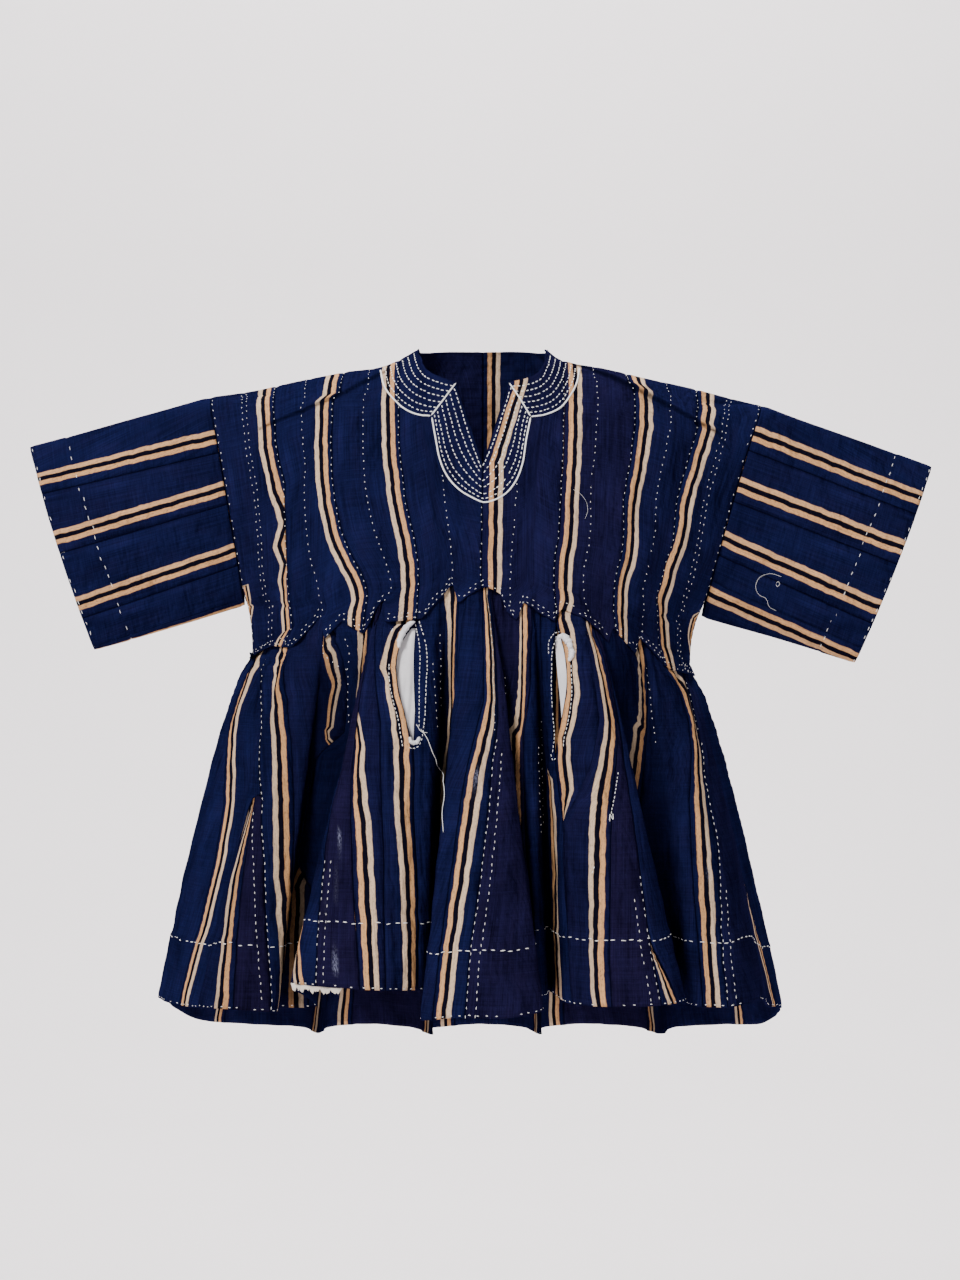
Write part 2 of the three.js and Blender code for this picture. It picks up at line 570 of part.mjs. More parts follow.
// A pocket bag: a cotton sheet that hangs just behind the skirt, from above the slit to below it.
function pocketBag(slit) {
  const seam = frontPieces[slit.piece];
  const waistAround = aroundOf(seam.waist, false);
  const grid = [];
  for (let j = 0; j <= BAG_ROWS; j += 1) {
    const z = lerp(slit.top - BAG_TOP_DROP, slit.bottom - BAG_BELOW, j / BAG_ROWS);
    const down = (waistZ(seam.waist) - z) / (waistZ(seam.waist) - hemZOf(seam.hem));
    const middle = lerp(waistAround, seam.hem, down);
    const row = [];
    for (let i = 0; i <= BAG_COLUMNS; i += 1) {
      const around = lerp(middle - slit.bagBefore, middle + slit.bagAfter, i / BAG_COLUMNS);
      const vertex = skirtVertex(around, z, false, false);
      vertex.point.addScaledVector(vertex.normal, -BAG_DEPTH);
      row.push(vertex);
    }
    grid.push(row);
  }
  return clothWall(grid, BAG_WALL);
}

// A sleeve: a tube from the armhole seam to the cuff, flattened, with its lower edge under the arm.
function sleeve(edge, cuff) {
  const out = Math.sign(edge.tipX);
  const around = 2 * SLEEVE_HALF_COLUMNS;
  const sleevePoint = (turn, f) => {
    const back = turn > 0.5;
    const share = (1 - Math.cos(2 * Math.PI * turn)) / 2;
    const z = lerp(edge.tipZ, edge.underarmZ, share);
    const half = armholeHalf(z, edge);
    const seam = new THREE.Vector3(edgeX(z, edge) + out * SEAM_GAP * 2, back ? half : -half, z);
    const cuffHalf = cuff.half * Math.sin(Math.PI * Math.min(1, share)) ** CUFF_FULLNESS;
    const pastFront = back ? cuff.backOut * Math.sin(Math.PI * share) : 0;
    const open = new THREE.Vector3(
      lerp(cuff.topX, cuff.lowX, share) + out * pastFront,
      back ? cuffHalf : -cuffHalf,
      lerp(cuff.topZ, cuff.lowZ, share),
    );
    return seam.lerp(open, f);
  };
  const grid = [];
  for (let j = 0; j <= SLEEVE_ROWS; j += 1) {
    const f = j / SLEEVE_ROWS;
    const row = [];
    for (let i = 0; i < around; i += 1) {
      const turn = i / around;
      const normal = outward(
        sleevePoint((turn + 1 - TURN_STEP) % 1, f), sleevePoint((turn + TURN_STEP) % 1, f),
        sleevePoint(turn, f - STEP), sleevePoint(turn, f + STEP),
      );
      if (out > 0) normal.negate();
      row.push({ point: sleevePoint(turn, f), normal });
    }
    grid.push(row);
  }
  if (out > 0) grid.reverse();
  return clothWall(grid, WALL, true);
}

addPiece("bodice_front", bodyPanel(false), indigoCloth());
addPiece("bodice_back", bodyPanel(true), indigoCloth());
addPiece("sleeve_left", sleeve(edges.left, cuffs.left), indigoCloth());
addPiece("sleeve_right", sleeve(edges.right, cuffs.right), indigoCloth());
addSkirtPanel("skirt_front", frontPieces, 0, FRONT_END, false);
addSkirtPanel("skirt_back", backPieces, FRONT_END, hemLength, true);
slits.forEach((slit) => addPiece(`pocket_bag_${slit.name}`, pocketBag(slit), bagCotton()));

export default smock;
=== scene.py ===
# %% [markdown]
# # A fugu smock
# A fugu is sewn from narrow hand-woven strips, laid edge to edge and joined by hand with white thread. This
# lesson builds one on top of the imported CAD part: the strips as thin cloth sheets on the CAD form, then the
# stitches, the neck embroidery, the pocket bags and the loose threads. Sizes are in millimetres until a mesh
# is made.

import bpy
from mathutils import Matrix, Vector
import numpy as np


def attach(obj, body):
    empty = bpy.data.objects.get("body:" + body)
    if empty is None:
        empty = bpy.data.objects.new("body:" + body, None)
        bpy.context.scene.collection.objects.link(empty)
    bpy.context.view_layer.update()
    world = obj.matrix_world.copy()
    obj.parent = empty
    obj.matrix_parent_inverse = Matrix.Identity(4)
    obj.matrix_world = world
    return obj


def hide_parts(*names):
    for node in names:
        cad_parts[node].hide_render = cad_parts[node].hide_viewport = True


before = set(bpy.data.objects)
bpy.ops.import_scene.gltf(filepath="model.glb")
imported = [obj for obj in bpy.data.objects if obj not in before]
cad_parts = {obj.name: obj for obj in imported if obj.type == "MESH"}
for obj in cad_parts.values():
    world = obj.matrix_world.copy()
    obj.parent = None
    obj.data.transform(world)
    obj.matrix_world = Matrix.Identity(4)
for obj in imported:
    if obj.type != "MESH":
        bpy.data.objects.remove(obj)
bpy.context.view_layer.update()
MM = 0.001
print("CAD nodes:", len(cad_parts))

# %% [markdown]
# ## Curves through tables
# Garments are drawn from a few measured lines. A smooth curve through table rows could be a Bezier or a
# spline. A cubic Hermite with slopes from the neighbouring rows stays close to the rows, so a fold line
# doesn't swing past them.

# %% Curves
def through(keys, values):
    """A smooth curve through rows: v0 (1+2t)(1-t)^2 + s0 h t(1-t)^2 + v1 t^2 (3-2t) + s1 h t^2 (t-1)."""
    k, v = np.asarray(keys, float), np.asarray(values, float)
    rise = np.diff(v) / np.diff(k)
    before, after = np.diff(k)[:-1], np.diff(k)[1:]
    slope = np.r_[rise[0], (after * rise[:-1] + before * rise[1:]) / (before + after), rise[-1]]

    def curve(at):
        at = np.asarray(at, float)
        i = np.clip(np.searchsorted(k, at, side="right") - 1, 0, len(k) - 2)
        span = k[i + 1] - k[i]
        t = np.clip((at - k[i]) / span, 0, 1)
        return (v[i] * (1 + 2 * t) * (1 - t) ** 2 + slope[i] * span * t * (1 - t) ** 2
                + v[i + 1] * t * t * (3 - 2 * t) + slope[i + 1] * span * t * t * (t - 1))
    return curve


def smooth(t):
    """The smooth step t^2 (3 - 2t), from 0 at 0 to 1 at 1."""
    t = np.clip(t, 0, 1)
    return t * t * (3 - 2 * t)


def quarter(t):
    """A quarter circle, sqrt(1 - (1 - t)^2): rises straight up from 0 and levels off at 1."""
    return np.sqrt(1 - (1 - np.clip(t, 0, 1)) ** 2)


def three(start, middle, end, f):
    """The parabola through start, middle and end at f = 0, 1/2 and 1."""
    return start * (1 - f) * (1 - 2 * f) + middle * 4 * f * (1 - f) + end * f * (2 * f - 1)


def lerp(a, b, f):
    """A point between a and b."""
    return a + (b - a) * f


def bump(distance, width):
    """A soft ridge exp(-(distance / width)^2)."""
    return np.exp(-(distance / width) ** 2)


def ripple(x, y, seed):
    """Slow uneven waves in two directions, about -1 to 1: a sum of five sines of unrelated lengths."""
    r = np.random.default_rng(seed)
    total = 0
    for _ in range(5):
        angle, phase, pace = r.uniform(0, np.pi), r.uniform(0, 6.3), r.uniform(0.6, 1.6)
        total = total + np.sin(pace * (x * np.cos(angle) + y * np.sin(angle)) + phase)
    return total / 3


# %% [markdown]
# ## The body's form
# Above the waist the smock is a wide flat T whose front and back stand away from the plane of the shoulders.
# The tables are the CAD part's own, so each sheet lies on its solid.

# %% Body form
EDGE_LEFT = {"tip_x": -309, "tip_z": -41, "middle_x": -284, "underarm_z": -277, "waist_x": -263,
             "waist_z": -331}
EDGE_RIGHT = {"tip_x": 315, "tip_z": -50, "middle_x": 272, "underarm_z": -290, "waist_x": 236,
              "waist_z": -343}
CHEST_FRONT, CHEST_BACK = 128, 112
SHOULDER_HALF, SHOULDER_DROP = 62, 62
ARMHOLE_HALF, ARMHOLE_DROP = 38, 34
SIDE_ROUNDING, CHEST_DROP = 175, 250
WAIST_Z, WAIST_SAG, WAIST_SAG_X, WAIST_RIGHT_DROP = -250, 62, 230, 28
NAPE_HALF = 74

shoulder_z = through(
    [-316, -260, -209, -157, -106, -89, -73, -40, 0, 40, 71, 84, 99, 133, 185, 236, 287, 325],
    [-42, -34, -23, -13, -4, 4, 13, 17, 18, 17, 13, 3, -2, -8, -20, -31, -44, -53])
nape_z = through([-74, -55, -30, 0, 30, 55, 74], [0, 21, 35, 40, 35, 21, 0])
NECK_LEFT, NECK_RIGHT = -73, 71
FRONT_NECK = {
    "x": [-73, -70, -64, -56, -46, -29, 0, 28, 46, 55, 63, 69, 71],
    "z": [12, -3, -14, -20, -24, -30, -122, -30, -26, -23, -17, -5, 12]}
back_neck_z = through([-73, -55, 0, 55, 71], [12, 15, 17, 15, 12])


def edge_value(key, x):
    """A measure of the side edge that x is nearer to."""
    return np.where(np.asarray(x) < 0, EDGE_LEFT[key], EDGE_RIGHT[key])


def ridge_z(x, back):
    """The line over the shoulder, raised behind the neck."""
    return shoulder_z(x) + np.where(back & (np.abs(x) < NAPE_HALF), nape_z(x), 0)


def edge_x(z, x):
    """The side edge at height z, on the side of x."""
    f = (edge_value("tip_z", x) - z) / (edge_value("tip_z", x) - edge_value("waist_z", x))
    f = np.clip(f, 0, 1)
    return three(edge_value("tip_x", x), edge_value("middle_x", x), edge_value("waist_x", x), f)


def armhole_half(z, x):
    """Half the armhole's thickness, round over the shoulder and closing at the underarm."""
    tip = edge_value("tip_z", x)
    f = np.clip((tip - z) / (tip - edge_value("underarm_z", x)), 0, 1)
    return ARMHOLE_HALF * quarter((tip - z) / ARMHOLE_DROP) * np.sqrt(1 - f ** 3)


def body_depth(x, z, back):
    """How far the front or back stands from the plane of the shoulders: a sine from the side edge inwards."""
    inset = np.maximum(0, np.abs(edge_x(z, x)) - np.abs(x))
    drop = np.maximum(0, ridge_z(x, back) - z)
    chest = np.where(back, CHEST_BACK, CHEST_FRONT)
    inner = SHOULDER_HALF * quarter(drop / SHOULDER_DROP)
    inner = inner + (chest - SHOULDER_HALF) * smooth(drop / CHEST_DROP)
    outer = armhole_half(z, x)
    return outer + (inner - outer) * np.sin(np.pi / 2 * np.clip(inset / SIDE_ROUNDING, 0, 1))


def waist_z(waist):
    """The level line just above the sawtooth seam."""
    right = np.where(waist > 0, WAIST_RIGHT_DROP * smooth(waist / EDGE_RIGHT["waist_x"]) ** 2, 0)
    return WAIST_Z - WAIST_SAG * (waist / WAIST_SAG_X) ** 2 - right


print("chest depth at the waist:", float(body_depth(0.0, -250.0, False)))

# %% [markdown]
# ## The skirt's form
# The skirt hangs from the waist in cone-shaped folds. Simulated cloth would fold where it liked, and these
# folds have known places, so the skirt is a ruled surface: each fold line leaves the waist at one place and
# meets the hem at another, and the surface between the lines is curved smoothly.

# %% Skirt form
WAIST, HEM_X, HEM_Y, HEM_Z, OPENING = range(5)  # the columns of the table
FOLDS = np.array([
    (-263, -367, 10, -726, 0.74), (-243, -344, -90, -720, 0.78), (-215, -320, -126, -719, 0.85),
    (-197, -273, -198, -712, 0.9), (-178, -228, -190, -716, 1), (-162, -220, -122, -720, 1),
    (-130, -187, -130, -719, 1), (-112, -202, -236, -681, 0.98), (-98, -160, -270, -680, 0.9),
    (-80, -110, -277, -682, 0.9), (-52, -68, -242, -686, 0.9), (-36, -52, -155, -694, 0.9),
    (-26, -38, -218, -704, 0.95), (-15, -64, -278, -713, 0.98), (-7, -26, -304, -707, 0.9),
    (0, 22, -307, -707, 0.9), (6, 58, -284, -704, 1), (22, 28, -182, -697, 1), (44, 59, -214, -697, 1),
    (58, 73, -150, -699, 1), (69, 97, -236, -702, 0.95), (90, 129, -270, -700, 0.9),
    (106, 174, -268, -700, 0.9), (120, 215, -222, -700, 1), (138, 186, -146, -706, 1),
    (164, 212, -150, -710, 1), (188, 234, -200, -709, 0.95), (210, 266, -208, -708, 0.9),
    (224, 293, -178, -705, 0.88), (231, 313, -95, -722, 0.85), (236, 341, 10, -738, 0.8),
    (228, 330, 105, -768, 0.8), (206, 285, 208, -784, 0.8), (180, 236, 200, -786, 0.9),
    (152, 212, 128, -784, 1), (128, 178, 210, -786, 0.95), (104, 128, 250, -788, 0.9),
    (78, 74, 215, -788, 0.95), (54, 68, 138, -786, 1), (30, 44, 232, -790, 0.95), (6, -8, 262, -791, 0.9),
    (-18, -58, 226, -790, 0.95), (-44, -60, 142, -787, 1), (-70, -88, 222, -789, 0.95),
    (-94, -136, 252, -789, 0.9), (-120, -184, 214, -787, 0.95), (-148, -196, 132, -784, 1),
    (-172, -222, 196, -785, 0.9), (-198, -272, 210, -784, 0.85), (-232, -338, 112, -764, 0.75)], float)
RIGHT_SIDE_ROW = 30
hem_line = np.concatenate([FOLDS, FOLDS[:1]])[:, [HEM_X, HEM_Y]]
steps = np.hypot(*np.diff(hem_line, axis=0).T)
fold_around = np.r_[0, np.cumsum(steps)[:-1]]
HEM = steps.sum()
FRONT_END = fold_around[RIGHT_SIDE_ROW]
fold_curves = [
    through(np.r_[fold_around[-3:] - HEM, fold_around, fold_around[:4] + HEM],
            np.r_[FOLDS[-3:, c], FOLDS[:, c], FOLDS[:4, c]]) for c in range(FOLDS.shape[1])]


def fold_value(column, around):
    """A column of the fold table at a distance round the hem."""
    return fold_curves[column](np.mod(around, HEM))


def skirt_point(around, z):
    """P = waist point + fan * (hem point - waist point), fan = (drop / full drop) ** opening."""
    waist = fold_value(WAIST, around)
    top = waist_z(waist)
    back = np.mod(around, HEM) > FRONT_END
    depth = body_depth(waist, top, back)
    waist_y = np.where(back, depth, -depth)
    share = np.maximum(0, (top - z) / (top - fold_value(HEM_Z, around)))
    fan = share ** fold_value(OPENING, around)
    x = lerp(waist, fold_value(HEM_X, around), fan)
    y = lerp(waist_y, fold_value(HEM_Y, around), fan)
    return np.stack(np.broadcast_arrays(x, y, z), -1)


def around_of(waist, back):
    """The distance round the hem that belongs to a place at the waist, read back from 2000 samples."""
    samples = np.linspace(HEM if back else 0, FRONT_END, 2000)[1:-1]
    return np.interp(waist, np.maximum.accumulate(fold_value(WAIST, samples)), samples)


print("hem length", round(HEM), "front", round(float(FRONT_END)))

# %% [markdown]
# ## Sheets made of strips
# Each strip is its own grid of points between two seam lines, so a seam is a real joint between two edges. A
# strip could be a texture on one big sheet, but then the stripes would not turn with the seams. Every point
# also knows how far it is from the two seams beside it: the stripes, the grooves along the seams and the
# stitches all use that.

# %% Grid helpers
def unit(v):
    """Vectors brought to length 1."""
    return v / np.maximum(np.linalg.norm(v, axis=-1, keepdims=True), 1e-9)


def normals_of(grid):
    """The unit normals of a grid of points: the cross product of its two sets of differences."""
    return unit(np.cross(np.gradient(grid, axis=1), np.gradient(grid, axis=0)))


def lengths_along(grid, axis):
    """Distance travelled along one direction of a grid."""
    step = np.linalg.norm(np.diff(grid, axis=axis), axis=-1)
    zero = np.zeros_like(step[:1] if axis == 0 else step[:, :1])
    return np.concatenate([zero, np.cumsum(step, axis=axis)], axis=axis)


def reach(table, want):
    """The fractional column at which each growing row of the table reaches its wanted value."""
    rows = np.arange(len(table))
    i = np.clip((table <= want[:, None]).sum(1) - 1, 0, table.shape[1] - 2)
    step = np.maximum(table[rows, i + 1] - table[rows, i], 1e-9)
    return i + np.clip((want - table[rows, i]) / step, 0, 1)


def grid_faces(rows, columns, start=0):
    """The four-sided faces of a grid whose points are numbered row by row."""
    i = start + np.arange(rows * columns).reshape(rows, columns)
    return np.stack([i[:-1, :-1], i[1:, :-1], i[1:, 1:], i[:-1, 1:]], -1).reshape(-1, 4)


print("a 3 x 3 grid has", len(grid_faces(3, 3)), "faces")

# %% [markdown]
# A strip keeps its bare form, its normals and a relief. Creases, grooves and hems are added to the relief
# one after another, and only at the end is the outer face placed. Rows of stitches later ask it for lines
# down or across it.

# %% A strip
OUTER = 1.0  # the CAD wall's outer face, from its middle
PUCKER = 9.5  # length of a pucker along a sewn seam
PAIR_ROOM = 25  # cloth that a pair of stripes needs beside its seam
LEAST_SCALE = 0.15  # stripes are drawn no narrower than this where a gore runs to a point
SPARE_ROOM = 1.15  # plain cloth beside a single pair, as a share of the pair's room
UNSEWN = 99.0  # stands for far away from any seam


class Strip:
    """One strip or gore: a grid of points, its normals and its distances from the seams beside it."""

    def __init__(self, grid, outward, pair_left=0.0, pair_right=0.0, stripe=1.0, tint=0.0, sewn=(True, True),
                 hide_left=0.0, hide_right=0.0, along=None):
        across = lengths_along(grid, 1)
        width = across[:, -1:]
        needed = PAIR_ROOM * stripe * (2 if pair_left and pair_right else SPARE_ROOM)
        scale = np.clip(width / needed, LEAST_SCALE, 1) * stripe
        self.left, self.right = across / scale, (width - across) / scale
        self.from_left, self.from_right = self.left + hide_left, self.right + hide_right
        self.across, self.width = across, width
        self.along = lengths_along(grid, 0) if along is None else along
        self.pair_left, self.pair_right, self.tint, self.sewn = pair_left, pair_right, tint, sewn
        # The edge distance also sets painted shade in the seam grooves.
        self.edge = np.minimum(across if sewn[0] else UNSEWN, (width - across) if sewn[1] else UNSEWN)
        self.pale = 1.0
        self.base, self.normal, self.flip = grid, normals_of(grid), False
        self.face_towards(outward)
        # Last grid: above 0 where scuffs rubbed the dye off, below 0 painted shade in the skirt's fold
        # valleys
        self.relief, self.wear = np.zeros(grid.shape[:2]), np.zeros(grid.shape[:2])

    def face_towards(self, outward):
        """Turns the normals round if the middle one points away from a direction."""
        middle = self.normal[self.normal.shape[0] // 2, self.normal.shape[1] // 2]
        if np.dot(middle, outward) < 0:
            self.normal, self.flip = -self.normal, not self.flip

    def press_seams(self, depth=1.3):
        """Grooves along the sewn edges, puckered at every stitch: -depth exp(-(d/3)^2) and a small wave."""
        wave = np.cos(2 * np.pi * self.along / PUCKER)
        for distance, sewn in zip((self.across, self.width - self.across), self.sewn):
            if sewn:
                self.relief -= depth * bump(distance, 3.0)
                self.relief += 0.35 * wave * bump(distance - 4, 5.0)

    def place(self):
        """The outer face: the base moved out along its normals by the relief."""
        self.grid = self.base + self.normal * (OUTER + self.relief)[..., None]
        self.face = normals_of(self.grid) * (-1 if self.flip else 1)
        return self

    def at(self, row, column):
        """Points and normals at fractional grid places, blended from the four corners round each."""
        rows, columns = self.grid.shape[:2]
        r = np.clip(np.floor(row).astype(int), 0, rows - 2)
        c = np.clip(np.floor(column).astype(int), 0, columns - 2)
        a, b = np.clip(row - r, 0, 1)[:, None], np.clip(column - c, 0, 1)[:, None]
        point, face = (lerp(lerp(g[r, c], g[r, c + 1], b), lerp(g[r + 1, c], g[r + 1, c + 1], b), a)
                       for g in (self.grid, self.face))
        return point, unit(face)

    def down(self, left=None, right=None, share=None):
        """A line down the strip, at a distance from an edge or a share of the width."""
        width = self.width[:, 0]
        want = left if left is not None else width - right if right is not None else share * width
        want = np.clip(np.broadcast_to(want, width.shape), 0, width)
        return self.at(np.arange(len(width), dtype=float), reach(self.across, want))

    def over(self, height):
        """A line across the strip, at a height above its lower edge."""
        up = lengths_along(self.grid[::-1], 0).T
        want = np.full(up.shape[0], float(height))
        return self.at(self.grid.shape[0] - 1 - reach(up, want), np.arange(up.shape[0], dtype=float))


print("strips can be drawn")

# %% [markdown]
# The strips of one sheet are joined into one mesh. Each point carries its distances and masks as attributes,
# which the cloth's material reads, and a Solidify modifier gives the sheet its thickness on the inside.

# %% Meshes from grids
# One attribute carries both rubbed scuffs and painted shade in the valleys between the skirt's folds.
CLOTH_ATTRIBUTES = ("from_left", "from_right", "pair_left", "pair_right", "edge", "pale", "tint", "wear")


def mesh_object(name, points, faces):
    """A smooth mesh object at the origin from points in metres and faces of one number of sides."""
    mesh = bpy.data.meshes.new(name)
    faces = np.asarray(faces, np.int32)
    mesh.vertices.add(len(points))
    mesh.vertices.foreach_set("co", np.asarray(points, np.float32).ravel())
    mesh.loops.add(faces.size)
    mesh.loops.foreach_set("vertex_index", faces.ravel())
    mesh.polygons.add(len(faces))
    mesh.polygons.foreach_set("loop_start", np.arange(0, faces.size, faces.shape[1], dtype=np.int32))
    mesh.update(calc_edges=True)
    mesh.validate()
    mesh.polygons.foreach_set("use_smooth", np.ones(len(mesh.polygons), bool))
    obj = bpy.data.objects.new(name, mesh)
    bpy.context.scene.collection.objects.link(obj)
    return obj


def thicken(obj, thickness, offset):
    """Gives a sheet its thickness: offset -1 grows it inwards and 0 both ways."""
    shell = obj.modifiers.new("cloth thickness", "SOLIDIFY")
    shell.thickness, shell.offset = thickness * MM, offset


def dress(obj, material):
    """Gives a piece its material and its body."""
    obj.data.materials.append(material)
    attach(obj, "root")
    return obj


def cloth_object(name, strips, thickness=1.6):
    """Joins strips into one mesh with its cloth attributes and a thickness that grows inwards."""
    faces, start = [], 0
    for s in strips:
        quads = grid_faces(*s.wear.shape, start)
        faces.append(quads if s.flip else quads[:, [0, 3, 2, 1]])
        start += s.wear.size
    points = np.concatenate([s.grid.reshape(-1, 3) for s in strips])
    obj = mesh_object(name, points * MM, np.concatenate(faces))
    for key in CLOTH_ATTRIBUTES:
        values = np.concatenate([np.broadcast_to(getattr(s, key), s.wear.shape).ravel() for s in strips])
        attribute = obj.data.attributes.new(key, "FLOAT", "POINT")
        attribute.data.foreach_set("value", values.astype(np.float32))
    uv = np.concatenate([np.stack([s.across, s.along], -1).reshape(-1, 2) for s in strips]) * MM
    loops = np.zeros(len(obj.data.loops), np.int32)
    obj.data.loops.foreach_get("vertex_index", loops)
    layer = obj.data.uv_layers.new(name="cloth")
    layer.data.foreach_set("uv", uv[loops].astype(np.float32).ravel())
    thicken(obj, thickness, -1)
    return obj


print("each point carries", len(CLOTH_ATTRIBUTES), "attributes")

# %% [markdown]
# ## Creases
# The real cloth creases where the wearer's shoulders, the armholes and the gathered waist pull on it. They
# could come from a simulation, but each one has a known place, so each is a line with a width and a depth,
# pressed in as a soft trough or raised as a soft ridge.

# %% Creases
# Body creases: points x, z down the line, then width, height (below 0 is a trough)
BODY_CREASES_FRONT = [
    ([(-112, -40), (-170, -72), (-225, -104)], 12, -1.6),
    ([(120, -38), (180, -70), (240, -108)], 12, -1.8),
    ([(-196, -75), (-212, -130), (-222, -200), (-228, -262)], 12, -3.4),
    ([(-178, -90), (-196, -150), (-204, -220), (-206, -290)], 11, 2.2),
    ([(-232, -120), (-236, -190), (-238, -250)], 9, 2.4),
    ([(-262, -160), (-246, -215), (-236, -270), (-238, -320)], 9, -2.4),
    ([(-150, -80), (-142, -160), (-120, -250)], 20, 1.6),
    ([(-110, -150), (-94, -230), (-88, -285)], 9, -1.6),
    ([(-30, -175), (-22, -230), (-24, -270)], 8, -1.2),
    ([(60, -120), (52, -190), (48, -262)], 14, -1.4),
    ([(112, -150), (104, -220), (112, -285)], 10, -1.6),
    ([(176, -70), (186, -120), (170, -190), (160, -260)], 13, -3.2),
    ([(160, -80), (166, -140), (146, -220)], 10, 2.0),
    ([(202, -110), (190, -160), (176, -240), (168, -300)], 10, 2.2),
    ([(222, -160), (204, -215), (196, -262), (204, -320)], 8, -3.0),
    ([(262, -200), (236, -240), (222, -280), (226, -330)], 8, 2.2),
]
BODY_CREASES_BACK = [
    ([(-95, 0), (-160, -40), (-215, -68), (-268, -92)], 7, -2.6),
    ([(-95, -12), (-160, -52), (-215, -82), (-262, -112)], 9, 1.8),
    ([(98, -4), (160, -34), (215, -64), (268, -92)], 7, -2.6),
    ([(98, -16), (160, -48), (215, -78), (262, -108)], 9, 1.8),
    ([(-60, -20), (-20, -42), (24, -40), (62, -22)], 12, -2.0),
    ([(-224, -110), (-214, -190), (-204, -280)], 13, -3.0),
    ([(-192, -100), (-180, -190), (-172, -280)], 12, 2.0),
    ([(-110, -120), (-100, -200), (-92, -265)], 14, -1.8),
    ([(-20, -90), (-28, -170), (-22, -245)], 15, 1.6),
    ([(60, -110), (52, -190), (58, -262)], 13, -1.8),
    ([(132, -100), (128, -190), (118, -270)], 12, 1.8),
    ([(206, -100), (196, -190), (176, -290)], 13, -3.2),
    ([(236, -150), (222, -230), (206, -310)], 9, 2.0),
]

print(len(BODY_CREASES_FRONT), "front creases,", len(BODY_CREASES_BACK), "back creases")

# %% Relief of the body
def distance_to(x, z, points):
    """The distance from x, z to the nearest place on a line through points."""
    best = np.full(np.shape(x), 1e9)
    for (ax, az), (bx, bz) in zip(points[:-1], points[1:]):
        length = (bx - ax) ** 2 + (bz - az) ** 2
        t = np.clip(((x - ax) * (bx - ax) + (z - az) * (bz - az)) / length, 0, 1)
        best = np.minimum(best, np.hypot(x - ax - t * (bx - ax), z - az - t * (bz - az)))
    return best


def lap_places(x, z, points):
    """How far x is past a lap's two ends, on its own side of the neck, and how far z is above its edge."""
    out = np.where(np.sign(x) == np.sign(points[0][0]), np.abs(x), 0)
    line = np.abs([p[0] for p in points])
    return out - line[0], line[-1] - out, z - np.interp(np.abs(x), line, [p[1] for p in points])


def lapped(x, z, points, height):
    """A fold that laps over the cloth below it: h exp(-s / 18) above, a sharp step, and a hollow below."""
    inner, outer, above = lap_places(x, z, points)
    above = above * 0.9
    step = smooth((above + 1.5) / 3)
    crest = step * np.exp(-np.maximum(above, 0) / 18)
    hollow = 0.45 * (1 - step) * np.exp(np.minimum(above, 0) / 9)
    return height * smooth(inner / 14) * smooth(outer / 20) * (crest - hollow)


def lap_gap(x, z, points):
    """The distance from a lap's edge, large beside it."""
    inner, outer, above = lap_places(x, z, points)
    return np.where((inner < 0) | (outer < 0), UNSEWN, np.abs(above))


# Laps over the shoulders: points x, z out from the neck, then height
SHOULDER_LAPS = [([(-105, -12), (-160, -44), (-205, -62), (-252, -81)], 2.4),
                 ([(100, -4), (118, -10), (166, -33), (199, -51), (242, -74), (263, -84), (279, -107)], 4.2)]


# Unevenness of the body's cloth: height, length across and down, seed
BODY_RIPPLES = [(1.1, 34, 60, 3), (0.8, 13, 30, 5), (0.5, 5, 16, 7), (0.3, 3.4, 4.6, 9)]


def body_relief(x, z, back):
    """The sum of the body's creases and a slow unevenness of the cloth."""
    relief = 0
    for height, across, down, seed in BODY_RIPPLES:
        relief = relief + height * ripple(x / across, z / down, seed + back)
    for points, width, height in BODY_CREASES_BACK if back else BODY_CREASES_FRONT:
        relief = relief + height * bump(distance_to(x, z, points), width)
    if not back:
        for points, height in SHOULDER_LAPS:
            relief = relief + lapped(x, z, points, height)
    return relief


print("laps over the shoulders:", len(SHOULDER_LAPS))

